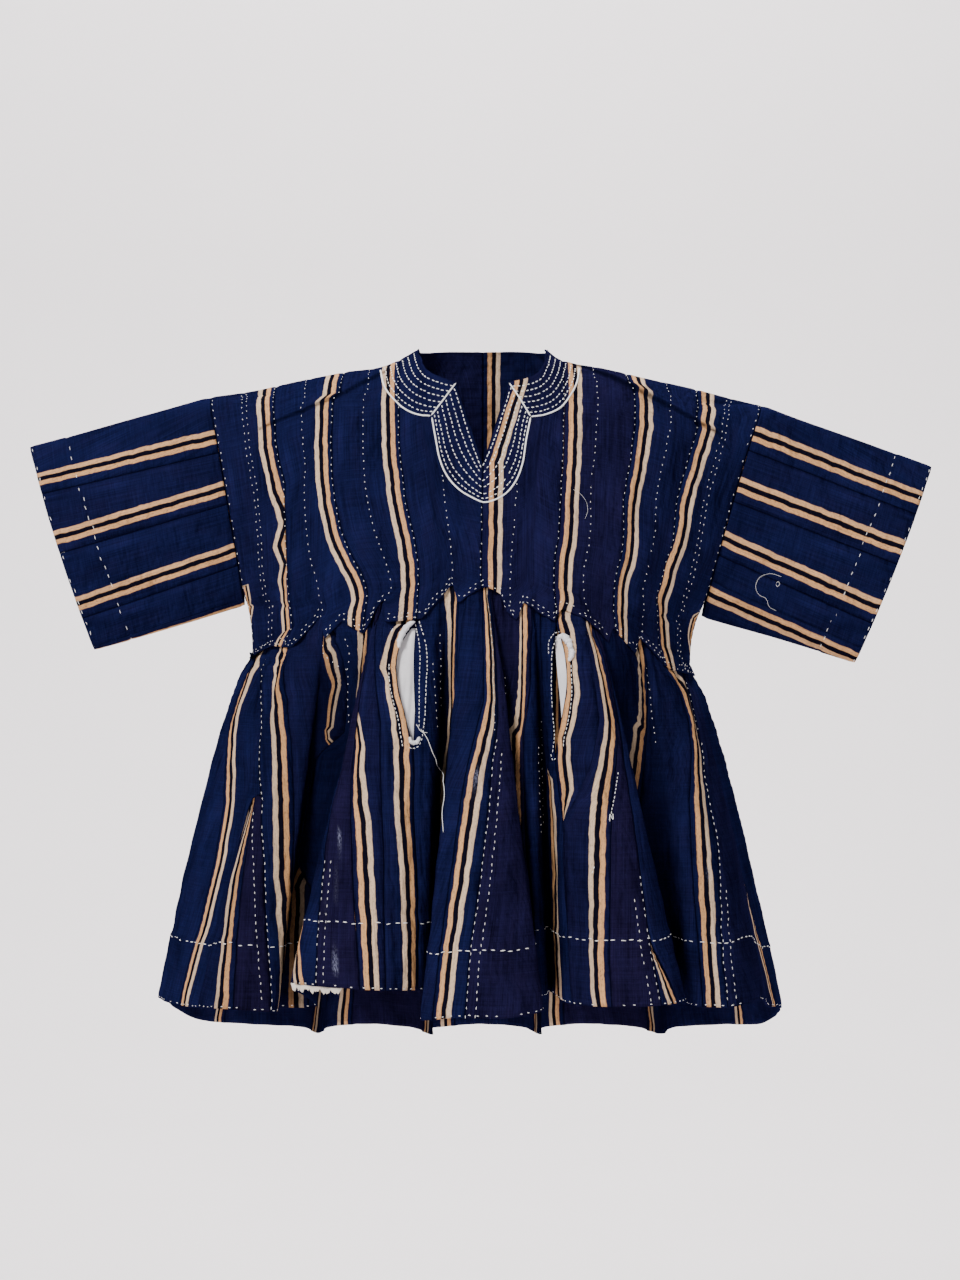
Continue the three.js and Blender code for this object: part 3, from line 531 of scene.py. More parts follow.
# %% Relief of the skirt
# Skirt creases: points z, distance round the hem, then width and height
SKIRT_CREASES = [
    ([(-330, 60), (-430, 66), (-560, 60), (-700, 58)], 9, -2.5),
    ([(-340, 100), (-420, 135), (-500, 160), (-600, 160), (-700, 150)], 7, -3.0),
    ([(-420, 160), (-500, 190), (-600, 188), (-700, 186)], 6, 2.0),
    ([(-340, 210), (-420, 232), (-560, 240), (-700, 246)], 9, 1.6),
    ([(-320, 255), (-400, 262), (-520, 268)], 7, -1.8),
    ([(-290, 410), (-360, 450), (-460, 480)], 8, -2.4),
    ([(-320, 540), (-450, 560), (-560, 600), (-690, 620)], 11, -1.8),
    ([(-430, 640), (-540, 655), (-690, 668)], 8, 1.8),
    ([(-300, 560), (-400, 580), (-460, 600)], 7, -2.2),
    ([(-270, 640), (-360, 680), (-470, 700)], 8, -2.0),
    ([(-270, 930), (-330, 935), (-420, 905), (-560, 880)], 8, -1.6),
    ([(-270, 985), (-330, 1000), (-420, 972), (-540, 960), (-690, 950)], 8, -1.8),
    ([(-275, 1060), (-360, 1080), (-470, 1110)], 7, -2.2),
    ([(-430, 1262), (-540, 1272), (-690, 1280)], 7, -1.8),
    ([(-300, 1370), (-380, 1376), (-450, 1366), (-560, 1352), (-690, 1346)], 6, 2.0),
    ([(-300, 1420), (-370, 1420), (-450, 1398), (-560, 1388), (-690, 1385)], 7, -2.2),
    ([(-330, 1460), (-420, 1446), (-520, 1440)], 7, 2.0),
    ([(-330, 1620), (-420, 1640), (-560, 1610)], 9, -1.8),
    ([(-350, 1690), (-430, 1690), (-560, 1668), (-690, 1650)], 8, -1.6),
    ([(-360, 1750), (-470, 1760), (-600, 1768)], 9, 2.2),
    ([(-360, 1820), (-520, 1830), (-700, 1840)], 10, -2.0),
    ([(-340, 1950), (-520, 1960), (-740, 1970)], 11, -2.2),
    ([(-330, 2060), (-450, 2080), (-740, 2070)], 9, 2.0),
    ([(-300, 2340), (-440, 2350), (-760, 2345)], 9, -2.0),
    ([(-290, 2410), (-430, 2410), (-760, 2405)], 9, -1.8),
    ([(-280, 2650), (-420, 2645), (-760, 2640)], 9, 1.8),
    ([(-280, 2710), (-420, 2705), (-760, 2700)], 8, -2.0),
    ([(-280, 2930), (-420, 2935), (-760, 2930)], 8, -2.0),
    ([(-290, 2995), (-430, 2995), (-760, 2990)], 9, 1.6),
    ([(-310, 3200), (-440, 3205), (-760, 3200)], 9, -2.0),
    ([(-330, 3290), (-470, 3300), (-740, 3310)], 11, -2.2),
    ([(-340, 3390), (-500, 3400), (-730, 3400)], 10, 1.8),
]
FRONT_SAWTOOTH = {
    "waist": [-263, -232, -204, -178, -171, -152, -125, -106, -99, -64, -33, -26, 0, 18, 25, 36, 43, 75, 83,
              104, 132, 140, 164, 172, 205, 236],
    "z": [-337, -324, -326, -289, -317, -296, -311, -271, -298, -294, -255, -278, -259, -266, -286, -297,
          -276, -297, -283, -293, -319, -303, -333, -315, -351, -357]}
BACK_SAWTOOTH = {
    "waist": [-263, -226, -190, -182, -140, -132, -92, -84, -45, -37, 0, 38, 46, 86, 94, 132, 140, 178, 186,
              216, 236],
    "z": [-337, -339, -305, -331, -284, -310, -268, -295, -260, -284, -259, -285, -262, -297, -272, -316,
          -294, -336, -316, -350, -357]}


def sawtooth_z(waist, back):
    """The height of the body's sawtooth lower edge."""
    table = BACK_SAWTOOTH if back else FRONT_SAWTOOTH
    return np.interp(waist, table["waist"], table["z"])


# Unevenness of the skirt's cloth: height, length round and down, seed
SKIRT_RIPPLES = [(1.5, 30, 95, 11), (0.6, 11, 34, 12), (0.45, 26, 7.5, 13), (0.22, 7, 4.2, 14)]
HEM_BAND = 72  # width of the turned-up hem
HEM_DOUBLE = 0.7  # how far the doubled cloth of the hem stands out
GATHER_HEIGHT, GATHER_LENGTH = 2.1, 50  # of the gathers under the sawtooth seam


def skirt_relief(around, z, scale, back):
    """Creases down the skirt, gathers under the seam and the turned-up hem.
    scale is how many millimetres of cloth lie in one millimetre of hem distance at this height."""
    relief = 0
    for height, across, down, seed in SKIRT_RIPPLES:
        relief = relief + height * ripple(around / across, z / down, seed)
    for points, width, height in SKIRT_CREASES:
        levels = [-p[0] for p in points]
        middle = np.interp(-z, levels, [p[1] for p in points])
        ends = smooth((-z - levels[0] + 25) / 40) * smooth((levels[-1] + z + 40) / 45)
        relief = relief + height * ends * bump((around - middle) * scale, width)
    waist = fold_value(WAIST, around)
    below = np.maximum(0, sawtooth_z(waist, back) - z)
    gathers = np.sin(waist / 1.55 + 2.2 * np.sin(waist / 9)) + 0.6 * np.sin(waist / 2.7 + 1.3)
    relief = relief + GATHER_HEIGHT * np.exp(-below / GATHER_LENGTH) * gathers * smooth(below / 6 + 0.25)
    # The hem: doubled cloth with a ridge at its upper edge, then a thin rolled rim that ripples
    up = z - fold_value(HEM_Z, around)
    relief = relief + HEM_DOUBLE * smooth((HEM_BAND + 2 - up) / 3) + 0.5 * bump(up - HEM_BAND, 2.5)
    relief = relief - 0.8 * bump(up, 3.5) + 0.5 * np.sin(around / 5.5 + np.sin(around / 17)) * bump(up, 14)
    return relief


print("skirt creases:", len(SKIRT_CREASES))

# %% [markdown]
# ## The body's strips
# Strips run down the front, over the shoulders and down the back, eight on each side. Most have one pair of
# tan stripes, near the selvedge that faces the middle. The front seams lean and jog a little at the crease
# that runs over each shoulder, because cloth is hidden in it.

# %% Body strips
# Front seams: x at heights z, then x at the waist line and at the upper edge
FRONT_SEAMS = [
    {"z": [-30, -60, -85, -97, -141, -163, -207, -273, -330],
     "x": [-237, -234, -232, -232, -222, -223, -222, -219, -216], "waist": -213, "top": -235},
    {"z": [-12, -42, -48, -97, -141, -163, -185, -207, -229, -251, -273, -300],
     "x": [-158, -160, -168, -168, -166, -163, -158, -153, -152, -150, -142, -131], "waist": -126,
     "top": -158},
    {"z": [0, -53, -97, -119, -141, -163, -185, -207, -229, -251, -300],
     "x": [-95, -94, -93, -91, -88, -85, -80, -76, -75, -72, -69], "waist": -70, "top": -95},
    {"z": [-30, -122, -160, -300], "x": [-29, 0, -1, -2], "waist": -2, "top": -29},
    {"z": [-30, -122, -160, -300], "x": [28, 0, -1, -2], "waist": -2, "top": 28},
    {"z": [0, -53, -97, -119, -141, -185, -207, -229, -273, -300],
     "x": [92, 91, 90, 89, 87, 85, 84, 81, 76, 76], "waist": 78, "top": 91},
    {"z": [-14, -30, -35, -75, -97, -119, -141, -163, -207, -229, -251, -273, -300],
     "x": [163, 164, 171, 171, 167, 164, 159, 155, 155, 153, 148, 144, 142], "waist": 144, "top": 163},
    {"z": [-32, -53, -72, -77, -97, -119, -141, -163, -207, -229, -251, -273, -330],
     "x": [243, 243, 238, 242, 236, 229, 222, 217, 213, 206, 201, 193, 196], "waist": 198, "top": 243},
]
BODY_ROWS, FLAP_ROWS, COLUMN = 120, 18, 3.2
ROWS_DOWN = np.linspace(0, 1, BODY_ROWS) ** 1.5  # shares of the way down, closer together near the shoulder
TO_WAIST = 0.72  # share of the way down from which a seam heads for its place on the waist line
TO_EDGE = 24  # how quickly a seam leaves its place on the upper edge
CENTRE_DEPTH = 0.55  # of the groove down the middle of a strip, where the lining is caught through


def top_line(x, back):
    """The height of the body's upper edge: the neck edge or the shoulder."""
    on_neck = (x > NECK_LEFT) & (x < NECK_RIGHT)
    neck = back_neck_z(x) if back else np.interp(x, FRONT_NECK["x"], FRONT_NECK["z"])
    return np.where(on_neck, neck, ridge_z(x, np.asarray(back)))


def side_seam(side):
    """The side edge on one side, in the same form as a seam."""
    edge = EDGE_LEFT if side < 0 else EDGE_RIGHT
    z = np.linspace(edge["tip_z"], edge["waist_z"], 12)
    return {"z": z, "x": edge_x(z, np.full(12, float(side))), "waist": edge["waist_x"], "top": edge["tip_x"]}


def back_seam(waist):
    """A seam of the back: the same share of the width from the shoulder to the waist."""
    edge = EDGE_LEFT if waist < 0 else EDGE_RIGHT
    share = waist / edge["waist_x"]
    z = np.linspace(40, -360, 24)
    x = share * edge_x(z, np.full(24, waist if waist else 1.0))
    return {"z": z, "x": x, "waist": waist, "top": share * edge["tip_x"]}


# %% One strip of the body
def body_strip(left, right, back, stripe=0.96, **look):
    """A strip of the body: rows from the upper edge to the waist line, then down to the sawtooth edge."""
    share = np.linspace(0, 1, 400)
    top_x = lerp(left["top"], right["top"], share)
    arc = np.r_[0, np.cumsum(np.hypot(np.diff(top_x), np.diff(top_line(top_x, back))))]
    count = max(9, int(round(max(arc[-1], right["waist"] - left["waist"], 60) / COLUMN)))
    share = np.interp(np.linspace(0, 1, count), 0.5 * arc / arc[-1] + 0.5 * share, share)
    top_x = lerp(left["top"], right["top"], share)
    top = top_line(top_x, back)
    waist = lerp(left["waist"], right["waist"], share)
    f = ROWS_DOWN[:, None]
    z = lerp(top, waist_z(waist), f)

    def seam_x(seam):
        return np.interp(-z, -np.asarray(seam["z"], float), np.asarray(seam["x"], float))
    x = lerp(seam_x(left), seam_x(right), share)
    x = lerp(x, waist, smooth((f - TO_WAIST) / (1 - TO_WAIST)))
    x = lerp(x, top_x, (1 - f) ** TO_EDGE)
    depth = body_depth(x, z, np.asarray(back))
    upper = np.stack([x, depth if back else -depth, z], -1)
    inset = np.abs(edge_x(z, x)) - np.abs(x)
    # The creases fade out at the upper edge and beside the side edge
    relief = body_relief(x, z, back) * smooth(f / 0.06) * np.minimum(1, inset / 25 + 0.15)

    g = np.linspace(0, 1, FLAP_ROWS)[1:, None]
    flap_z = lerp(waist_z(waist), sawtooth_z(waist, back), g)
    lower = skirt_point(np.broadcast_to(around_of(waist, back), flap_z.shape), flap_z)
    inward = smooth((np.abs(edge_x(waist_z(waist), waist)) - np.abs(waist)) / 22)
    # The flap lifts off the skirt and waves a little, but lies close beside the side edge
    flap = (0.9 * smooth(g / 0.5) + 0.4 * np.sin(waist / 4.0) * g) * inward - 1.2 * (1 - inward)

    s = Strip(np.concatenate([upper, lower]), (0, 1 if back else -1, 0), stripe=stripe, **look)
    s.relief = np.concatenate([relief, relief[-1] * (1 - g) + flap])
    s.press_seams(1.1)
    s.relief -= CENTRE_DEPTH * bump(s.across - s.width / 2, 2.2)
    on_neck = (top_x > NECK_LEFT - 1) & (top_x < NECK_RIGHT + 1)
    s.relief[:BODY_ROWS] += np.where(on_neck, 0.5 * bump(f * (top - waist_z(waist)) - 3, 4), 0)
    # Painted shadow: the edge distance shrinks along each shoulder lap's lower edge, so the colour darkens
    # there.
    if not back:
        for points, _ in SHOULDER_LAPS:
            s.edge[:BODY_ROWS] = np.minimum(s.edge[:BODY_ROWS], 0.45 * lap_gap(x, z, points))
    return s.place()


def down_strip(shares, values, flap=0.0):
    """Values between those given at shares of the way down, one for each row, then one for the flap."""
    return np.r_[np.interp(ROWS_DOWN, shares, values), np.full(FLAP_ROWS - 1, flap)][:, None]


def pair_under_arm(distance, start, end):
    """The pair of a side strip, narrowed, that shows from the armhole down to where it turns out of sight."""
    hidden = down_strip([0, start, start + 0.008, lerp(start, end, 0.6), end], [40, 40, 0, 2, 24], 40.0)
    return distance * 1.4 + hidden


print("flap rows:", FLAP_ROWS, "body rows:", BODY_ROWS)

# %% All strips of the body
# How far the outermost pairs slip out of sight under a crease, at shares of the way down
SLIPS_LEFT = down_strip([0, 0.42, 0.5, 0.58, 0.66, 0.74, 0.8, 1], [0, 0, 9, 13, 4, 11, 2, 0])
SLIPS_RIGHT = down_strip([0, 0.5, 0.6, 0.72, 0.86, 1], [0, 0, 3, 5, 2, 0])
BACK_SEAMS = [-200, -135, -80, 0, 67, 122, 182]
# For each strip from left to right: the sides that have a pair, how purple the indigo is, and how far a pair
# is hidden
FRONT_LOOKS = [("both", 0.1, SLIPS_LEFT), ("right", 0, 0.0), ("right", 0.05, 0.0), ("none", 0.1, 0.0), None,
               ("left", 0.35, -2.6), ("left", 0.55, 0.0), ("left", 0.1, 0.0), ("both", 0, SLIPS_RIGHT)]
BACK_LOOKS = [("right", 0, 0.0), ("right", 0.2, 0.0), ("right", 0, 0.0), ("none", 0.4, 0.0),
              ("left", 0.1, 0.0), ("left", 0.3, 0.0), ("left", 0, 0.0), ("left", 0.1, 0.0)]


def body_strips(seams, looks, back):
    """The strips between neighbouring seams, skipping the gap of the neck slit, whose look is None."""
    strips = []
    for left, right, look in zip(seams[:-1], seams[1:], looks):
        if look:
            pairs, tint, hidden = look
            hide = "hide_right" if right["waist"] <= 0 else "hide_left"
            strips.append(body_strip(left, right, back, pair_left=float(pairs in ("left", "both")), tint=tint,
                                     pair_right=float(pairs in ("right", "both")), **{hide: hidden}))
    return strips


body_front_strips = body_strips([side_seam(-1), *FRONT_SEAMS, side_seam(1)], FRONT_LOOKS, False)
body_front_strips[0].from_left = pair_under_arm(body_front_strips[0].left, 0.735, 0.9)
body_front_strips[-1].from_right = pair_under_arm(body_front_strips[-1].right, 0.8, 0.98)
body_back_strips = body_strips([side_seam(-1), *map(back_seam, BACK_SEAMS), side_seam(1)], BACK_LOOKS, True)
print("body strips:", len(body_front_strips), "front,", len(body_back_strips), "back")

# %% [markdown]
# ## The sleeves
# Each sleeve is a short tube whose strips run from the body to the cuff, so its stripes cross those of the
# body. The tube is flattened, and the strips go round it: the top one folds over the shoulder, the lowest
# one under the arm.

# %% Sleeves
CUFF_LEFT = {"top_x": -516, "top_z": -98, "low_x": -443, "low_z": -328, "half": 33, "back_out": 1}
CUFF_RIGHT = {"top_x": 511, "top_z": -120, "low_x": 424, "low_z": -342, "half": 36, "back_out": 6}
CUFF_FULLNESS = 0.7
# Sleeve seams: share of the way down at the body and at the cuff; below 0 is behind, counted from the top
SLEEVE_LEFT_SEAMS = [(0.276, 0.236), (0.521, 0.528), (0.815, 0.845), (0.97, 0.985)]
SLEEVE_RIGHT_SEAMS = [(0.222, 0.248), (0.462, 0.504), (0.714, 0.804), (0.835, 0.93)]
SLEEVE_BACK_SEAMS = [(-0.78, -0.8), (-0.5, -0.5), (-0.2, -0.18)]
SLEEVE_ROWS, SLEEVE_STEP = 70, 0.0075  # rows along the tube, and a step round it as a share of a turn
CUFF_BAND = 44  # width of the turned-in cuff
CUFF_DOUBLE = 0.6  # how far the doubled cloth of the cuff stands out
SLEEVE_PALE = 0.15  # how far the second stripe of a pair is from tan towards pale; it is 1 elsewhere
# Sleeve creases: points f (0 body, 1 cuff) and share down, then width as a share and height
SLEEVE_CREASES = [
    ([(0.0, 0.86), (0.3, 0.72), (0.6, 0.66)], 0.045, -2.6),
    ([(0.0, 0.95), (0.35, 0.86), (0.75, 0.84)], 0.04, 2.2),
    ([(0.0, 0.7), (0.4, 0.5), (0.9, 0.44)], 0.05, -1.8),
    ([(0.1, 0.35), (0.5, 0.3), (1.0, 0.34)], 0.06, 1.4),
    ([(0.15, 0.12), (0.55, 0.14), (1.0, 0.12)], 0.035, -1.4),
    ([(0.35, 0.62), (0.7, 0.58), (1.0, 0.64)], 0.05, 1.5),
    ([(0.5, 0.95), (0.75, 0.93), (1.0, 0.9)], 0.03, -1.8),
]


def turn_of(share):
    """The share of a turn round the tube: front from 0 at the top to 1/2 at the underarm, back below 0."""
    return np.sign(share) * np.arccos(1 - 2 * np.clip(np.abs(share), 0, 1)) / (2 * np.pi)


def sleeve_point(turn, f, side):
    """P = armhole point + f * (cuff point - armhole point), both rings flattened tubes."""
    edge, cuff = (EDGE_LEFT, CUFF_LEFT) if side < 0 else (EDGE_RIGHT, CUFF_RIGHT)
    turn = np.mod(turn, 1)
    back = turn > 0.5
    share = (1 - np.cos(2 * np.pi * turn)) / 2
    z = lerp(edge["tip_z"], edge["underarm_z"], share)
    sides = np.full(np.shape(z), float(side))
    half = armhole_half(z, sides)
    seam = np.stack(np.broadcast_arrays(edge_x(z, sides) + side, np.where(back, half, -half), z), -1)
    cuff_half = cuff["half"] * np.sin(np.pi * np.minimum(1, share)) ** CUFF_FULLNESS
    past = np.where(back, cuff["back_out"] * np.sin(np.pi * share), 0)
    mouth = np.stack([lerp(cuff["top_x"], cuff["low_x"], share) + side * past,
                      np.where(back, cuff_half, -cuff_half), lerp(cuff["top_z"], cuff["low_z"], share)], -1)
    return seam + (mouth - seam) * f[..., None]


print("sleeve creases:", len(SLEEVE_CREASES))

# %% Sleeve strips
def sleeve_strip(left, right, side, **look):
    """A strip of the sleeve between two lines, each given by its shares at the body and the cuff."""
    turns_left, turns_right = turn_of(np.array(left)), turn_of(np.array(right))
    turns_right = turns_right + (turns_right < turns_left)
    count = max(7, int(round((turns_right - turns_left).max() / SLEEVE_STEP)))
    u, f = np.meshgrid(np.linspace(0, 1, count), np.linspace(0, 1, SLEEVE_ROWS))
    turn = lerp(lerp(*turns_left, f), lerp(*turns_right, f), u)
    grid = sleeve_point(turn, f, side)
    centre = sleeve_point(np.array([0.25, 0.75]), np.array([0.5, 0.5]), side).mean(0)  # of the tube
    s = Strip(grid, grid[SLEEVE_ROWS // 2, count // 2] - centre, **look)
    s.pale = SLEEVE_PALE
    down = (1 - np.cos(2 * np.pi * turn)) / 2
    shift = np.where(np.mod(turn, 1) > 0.5, 0.06, 0.0) + (0.03 if side > 0 else 0)
    rumples = 0.9 * ripple(turn * 22, f * 4, 21 if side < 0 else 22) + 0.4 * ripple(turn * 60, f * 12, 23)
    s.relief += rumples * smooth(f / 0.1)
    for points, width, height in SLEEVE_CREASES:
        line = np.interp(f, [p[0] for p in points], [p[1] for p in points]) - shift
        ends = smooth((f - points[0][0] + 0.1) / 0.15) * smooth((points[-1][0] + 0.12 - f) / 0.2)
        s.relief += height * ends * bump(down - line, width)
    s.press_seams(0.9)
    # The cuff's doubled cloth, the row that holds it and its rim, then the groove of the armhole seam
    hem = s.along[-1:] - s.along
    cuff = CUFF_DOUBLE * smooth((CUFF_BAND - hem) / 3) - 0.6 * bump(hem - CUFF_BAND + 1, 2)
    s.relief += cuff - 0.7 * bump(hem, 3)
    s.relief -= 1.4 * bump(s.along, 5)
    return s.place()


def sleeve_strips(seams, side, stripe):
    """Seven strips round the tube, from the one over the shoulder, down the front and up the back."""
    last, middle, first = SLEEVE_BACK_SEAMS
    lines = [first, *seams, last, middle, first]
    pair = {"pair_right": 1, "hide_right": -5.0}
    looks = [pair, {**pair, "tint": 0.1}, pair, {"sewn": (True, False)},
             {"pair_left": 1, "sewn": (False, True)}, {"pair_right": 1, "tint": 0.2}, {"pair_right": 1}]
    return [sleeve_strip(left, right, side, stripe=stripe, **look)
            for left, right, look in zip(lines[:-1], lines[1:], looks)]


sleeve_left_strips = sleeve_strips(SLEEVE_LEFT_SEAMS, -1, 1.0)
sleeve_right_strips = sleeve_strips(SLEEVE_RIGHT_SEAMS, 1, 1.1)
print("sleeve strips:", len(sleeve_left_strips), len(sleeve_right_strips))

# %% [markdown]
# ## The skirt's strips and gores
# Below the sawtooth seam the strips go on, with long triangular gores between them, so the hem is about
# three times the waist. A seam line is given by its distance round the hem at several heights. Where a fold
# covers the edge of a strip, a line without stitches stands in for the fold's lip, and the stripes run out
# from under it.

# %% Skirt seam lines
SEAMS = {
    "left side": [(-340, 0), (-740, 0)],
    "a": [(-330, 58), (-408, 61), (-430, 76), (-452, 92), (-474, 105), (-496, 114), (-518, 120), (-562, 126),
          (-628, 125), (-671, 120), (-740, 117)],
    "b lip": [(-488, 198), (-510, 193), (-560, 180), (-720, 166)],
    "b": [(-470, 195), (-488, 198), (-501, 201), (-578, 215), (-661, 231), (-710, 238)],
    "b gore": [(-330, 98), (-360, 118), (-406, 148), (-470, 203), (-492, 221), (-555, 243), (-640, 261),
               (-710, 277)],
    "c fold": [(-328, 168), (-383, 232), (-427, 252), (-491, 270), (-547, 284), (-600, 296), (-640, 302),
               (-720, 312)],
    "c": [(-290, 336), (-307, 344), (-324, 356), (-341, 364), (-373, 373), (-396, 375), (-418, 376),
          (-446, 346), (-556, 336), (-590, 361), (-646, 366), (-720, 375)],
    "d": [(-300, 400), (-450, 470), (-561, 503), (-613, 512), (-690, 526)],
    "e": [(-300, 470), (-403, 508), (-446, 519), (-488, 529), (-539, 544), (-570, 551), (-611, 560),
          (-651, 568), (-691, 574), (-730, 578)],
    "e side": [(-300, 500), (-317, 510), (-339, 527), (-371, 543), (-403, 560), (-539, 586), (-690, 602)],
    "f": [(-290, 612), (-317, 615), (-360, 620), (-392, 623), (-430, 620), (-467, 624), (-488, 624),
          (-530, 630), (-572, 637), (-613, 640), (-696, 646)],
    "g valley": [(-258, 790), (-394, 812), (-469, 776), (-560, 762), (-700, 740)],
    "g": [(-259, 950), (-381, 943), (-403, 930), (-445, 911), (-466, 904), (-487, 900), (-508, 897),
          (-549, 893), (-590, 889), (-631, 886), (-710, 883)],
    "g gore": [(-266, 1014), (-403, 982), (-445, 960), (-466, 954), (-528, 940), (-589, 930), (-639, 922),
               (-710, 918)],
    "h fold": [(-285, 1182), (-360, 1163), (-420, 1140), (-543, 1138), (-608, 1146), (-700, 1150)],
    "h": [(-290, 1235), (-400, 1240), (-456, 1250), (-490, 1252), (-522, 1252), (-555, 1250), (-598, 1246),
          (-641, 1250), (-710, 1252)],
    "i slit": [(-290, 1327), (-317, 1318), (-339, 1312), (-371, 1306), (-425, 1296), (-447, 1297),
               (-467, 1299), (-490, 1303), (-513, 1308), (-560, 1304), (-710, 1304)],
    "i lip": [(-290, 1394), (-403, 1388), (-450, 1365), (-477, 1344), (-513, 1308), (-560, 1304),
              (-710, 1304)],
    "i": [(-300, 1446), (-361, 1447), (-404, 1438), (-446, 1412), (-488, 1391), (-529, 1380), (-571, 1373),
          (-612, 1367), (-652, 1362), (-710, 1359)],
    "i gore": [(-310, 1475), (-447, 1432), (-530, 1420), (-592, 1415), (-640, 1412), (-700, 1413)],
    "j": [(-632, 1412), (-640, 1414), (-700, 1440)],
    "j fold": [(-320, 1606), (-345, 1599), (-369, 1590), (-396, 1579), (-425, 1570), (-460, 1561),
               (-500, 1551), (-710, 1530)],
    "k": [(-345, 1640), (-375, 1660), (-406, 1668), (-428, 1662), (-471, 1649), (-493, 1643), (-556, 1635),
          (-598, 1631), (-640, 1629), (-710, 1624)],
    "k gore": [(-345, 1700), (-430, 1697), (-472, 1683), (-545, 1680), (-563, 1675), (-588, 1668),
               (-630, 1658), (-660, 1653), (-710, 1650)],
    "l": [(-350, 1770), (-560, 1790), (-640, 1812), (-730, 1835)],
    "right side": [(-340, FRONT_END), (-740, FRONT_END)],
}
for number, hem in enumerate([2042, 2186, 2268, 2409, 2480, 2566, 2706, 2779, 2863, 2992, 3064, 3140, 3286]):
    SEAMS[f"back {number + 1}"] = [(-300, hem), (-780, hem)]
SEAMS["back end"] = [(-340, HEM), (-740, HEM)]
SEAMS["back start"] = [(-340, FRONT_END), (-740, FRONT_END)]
print("seam lines:", len(SEAMS))

# %% Skirt pieces
def cut(left, right, **more):
    """The plan of a strip or gore that lies between two seam lines."""
    return {"left": left, "right": right, **more}


# Each piece: its two seam lines, the pairs of stripes beside them, how purple its indigo is, the heights
# that it starts or ends at, the line that takes over below a fold's lip, and whether its edges are sewn.
# Tables by height say how far a pair is hidden under a fold, and how it is mirrored and narrowed.
FRONT_PIECES = [
    cut("left side", "a"),
    cut("a", "b gore", below=("b lip", -488), pair_left=1, sewn=(True, False)),
    cut("b lip", "b", top=-488, pair_right=1, tint=0.1, sewn=(False, True)),
    cut("b", "b gore", top=-488, tint=1.0),
    cut("b gore", "c fold", pair_right=1),
    cut("c fold", "c", pair_right=1, tint=0.2,
        squeeze=[(-300, -1.0), (-360, -1.15), (-395, -1.7), (-430, -2.1), (-556, -1.2), (-700, -1.0)],
        hide_right=[(-365, 0), (-395, -4), (-420, -4), (-440, 28), (-556, 28), (-590, 0)]),
    cut("c", "d", pair_right=1, hide_right=[(-400, 0), (-450, -20), (-640, -20), (-700, -3)]),
    cut("d", "e", tint=0.9),
    cut("e", "e side", pair_left=1, tint=0.25, hide_left=[(-384, 27), (-428, 0)]),
    cut("e side", "f", pair_right=1, tint=0.1, slit_right="left",
        hide_right=[(-306, 0), (-325, 4.5), (-405, 4.5), (-440, 0)]),
    cut("f", "g valley", pair_right=1, slit_left="left"),
    cut("g valley", "g", tint=0.05),
    cut("g", "g gore", pair_left=1),
    cut("g gore", "h fold", pair_right=1, tint=0.75),
    cut("h fold", "h"),
    cut("h", "i slit", pair_left=1, slit_right="right", hide_left=[(-446, 40), (-466, 0)], stripe=1.7),
    cut("i slit", "i lip", bottom=-513, pair_left=1, tint=0.2, slit_left="right",
        sewn=(True, False), hide_left=[(-300, 0), (-318, 4.5), (-425, 4.5), (-450, 0)]),
    cut("i lip", "i", pair_right=1, tint=0.3, sewn=(False, True)),
    cut("i", "i gore", tint=0.9),
    cut("i gore", "j", top=-632, pair_right=1, tint=0.1),
    cut("i gore", "j fold", below_left=("j", -632), pair_right=1, tint=0.1),
    cut("j fold", "k", tint=0.1),
    cut("k", "k gore", pair_left=1),
    cut("k gore", "l", pair_right=1, tint=0.3, hide_right=[(-556, 27), (-660, 0)]),
    cut("l", "right side"),
]
back_lines = ["back start", *(f"back {number}" for number in range(1, 14)), "back end"]
BACK_PIECES = [
    cut(left, right, pair_left=number % 3 == 1, pair_right=number % 3 == 2,
        tint=0.8 if number % 6 == 3 else 0.1)
    for number, (left, right) in enumerate(zip(back_lines[:-1], back_lines[1:]))]
print("pieces:", len(FRONT_PIECES), "front,", len(BACK_PIECES), "back")

# %% Skirt strips
SLITS = {"left": {"top": -297, "bottom": -432, "before": 23.5, "after": -4.0, "bulge": 0.75},
         "right": {"top": -302, "bottom": -446, "before": 1.5, "after": 16, "bulge": 0.85}}
SKIRT_ROWS, SKIRT_STEP = 84, 4.6
SKIRT_HIGH, SKIRT_LOW = -290, -700  # heights near the seam and near the hem
SKIRT_DROP = 430  # a strip's usual length below the seam
PAIR_MIDDLE = 13.1  # from the seam to the middle of the pair of stripes
TUCK = 2.7  # how far the skirt is pressed in where the body's flap lies over it
# Scuffed lines where the dye has rubbed off a fold: two ends (height, distance round the hem) and a width
SCUFFS = [((-516, 519), (-598, 535), 1.2), ((-606, 538), (-668, 546), 0.7), ((-590, 516), (-640, 524), 1.0),
          ((-395, 700), (-500, 712), 0.9), ((-440, 930), (-520, 918), 0.9), ((-560, 1655), (-690, 1640), 1.0)]


def trough(around, z):
    """Painted shade: 1 deep between the folds and 0 on the crests, used to darken the colour in the valleys.
    """
    hem_x, hem_y, hem_z = (fold_value(column, around) for column in (HEM_X, HEM_Y, HEM_Z))
    drop = (SKIRT_HIGH - z) / (SKIRT_HIGH - hem_z)
    deep = smooth((225 - np.abs(hem_y)) / 75) * smooth((312 - np.abs(hem_x)) / 30)
    return deep * smooth((drop + 0.02) / 0.2)


print("scuffed lines:", len(SCUFFS))

# %% One strip of the skirt
def on_table(table, z):
    """A value read off a table of (height, value) rows that go downwards."""
    return np.interp(-z, [-row[0] for row in table], [row[1] for row in table])


def strip_edges(plan, z):
    """The distances round the hem of a piece's two edges at height z; below a lip another line takes over."""
    edges = []
    for side, lower in (("left", "below_left"), ("right", "below")):
        edge = on_table(SEAMS[plan[side]], z)
        if lower in plan:
            name, level = plan[lower]
            edge = np.where(z < level, on_table(SEAMS[name], z), edge)
        edges.append(edge)
    return edges


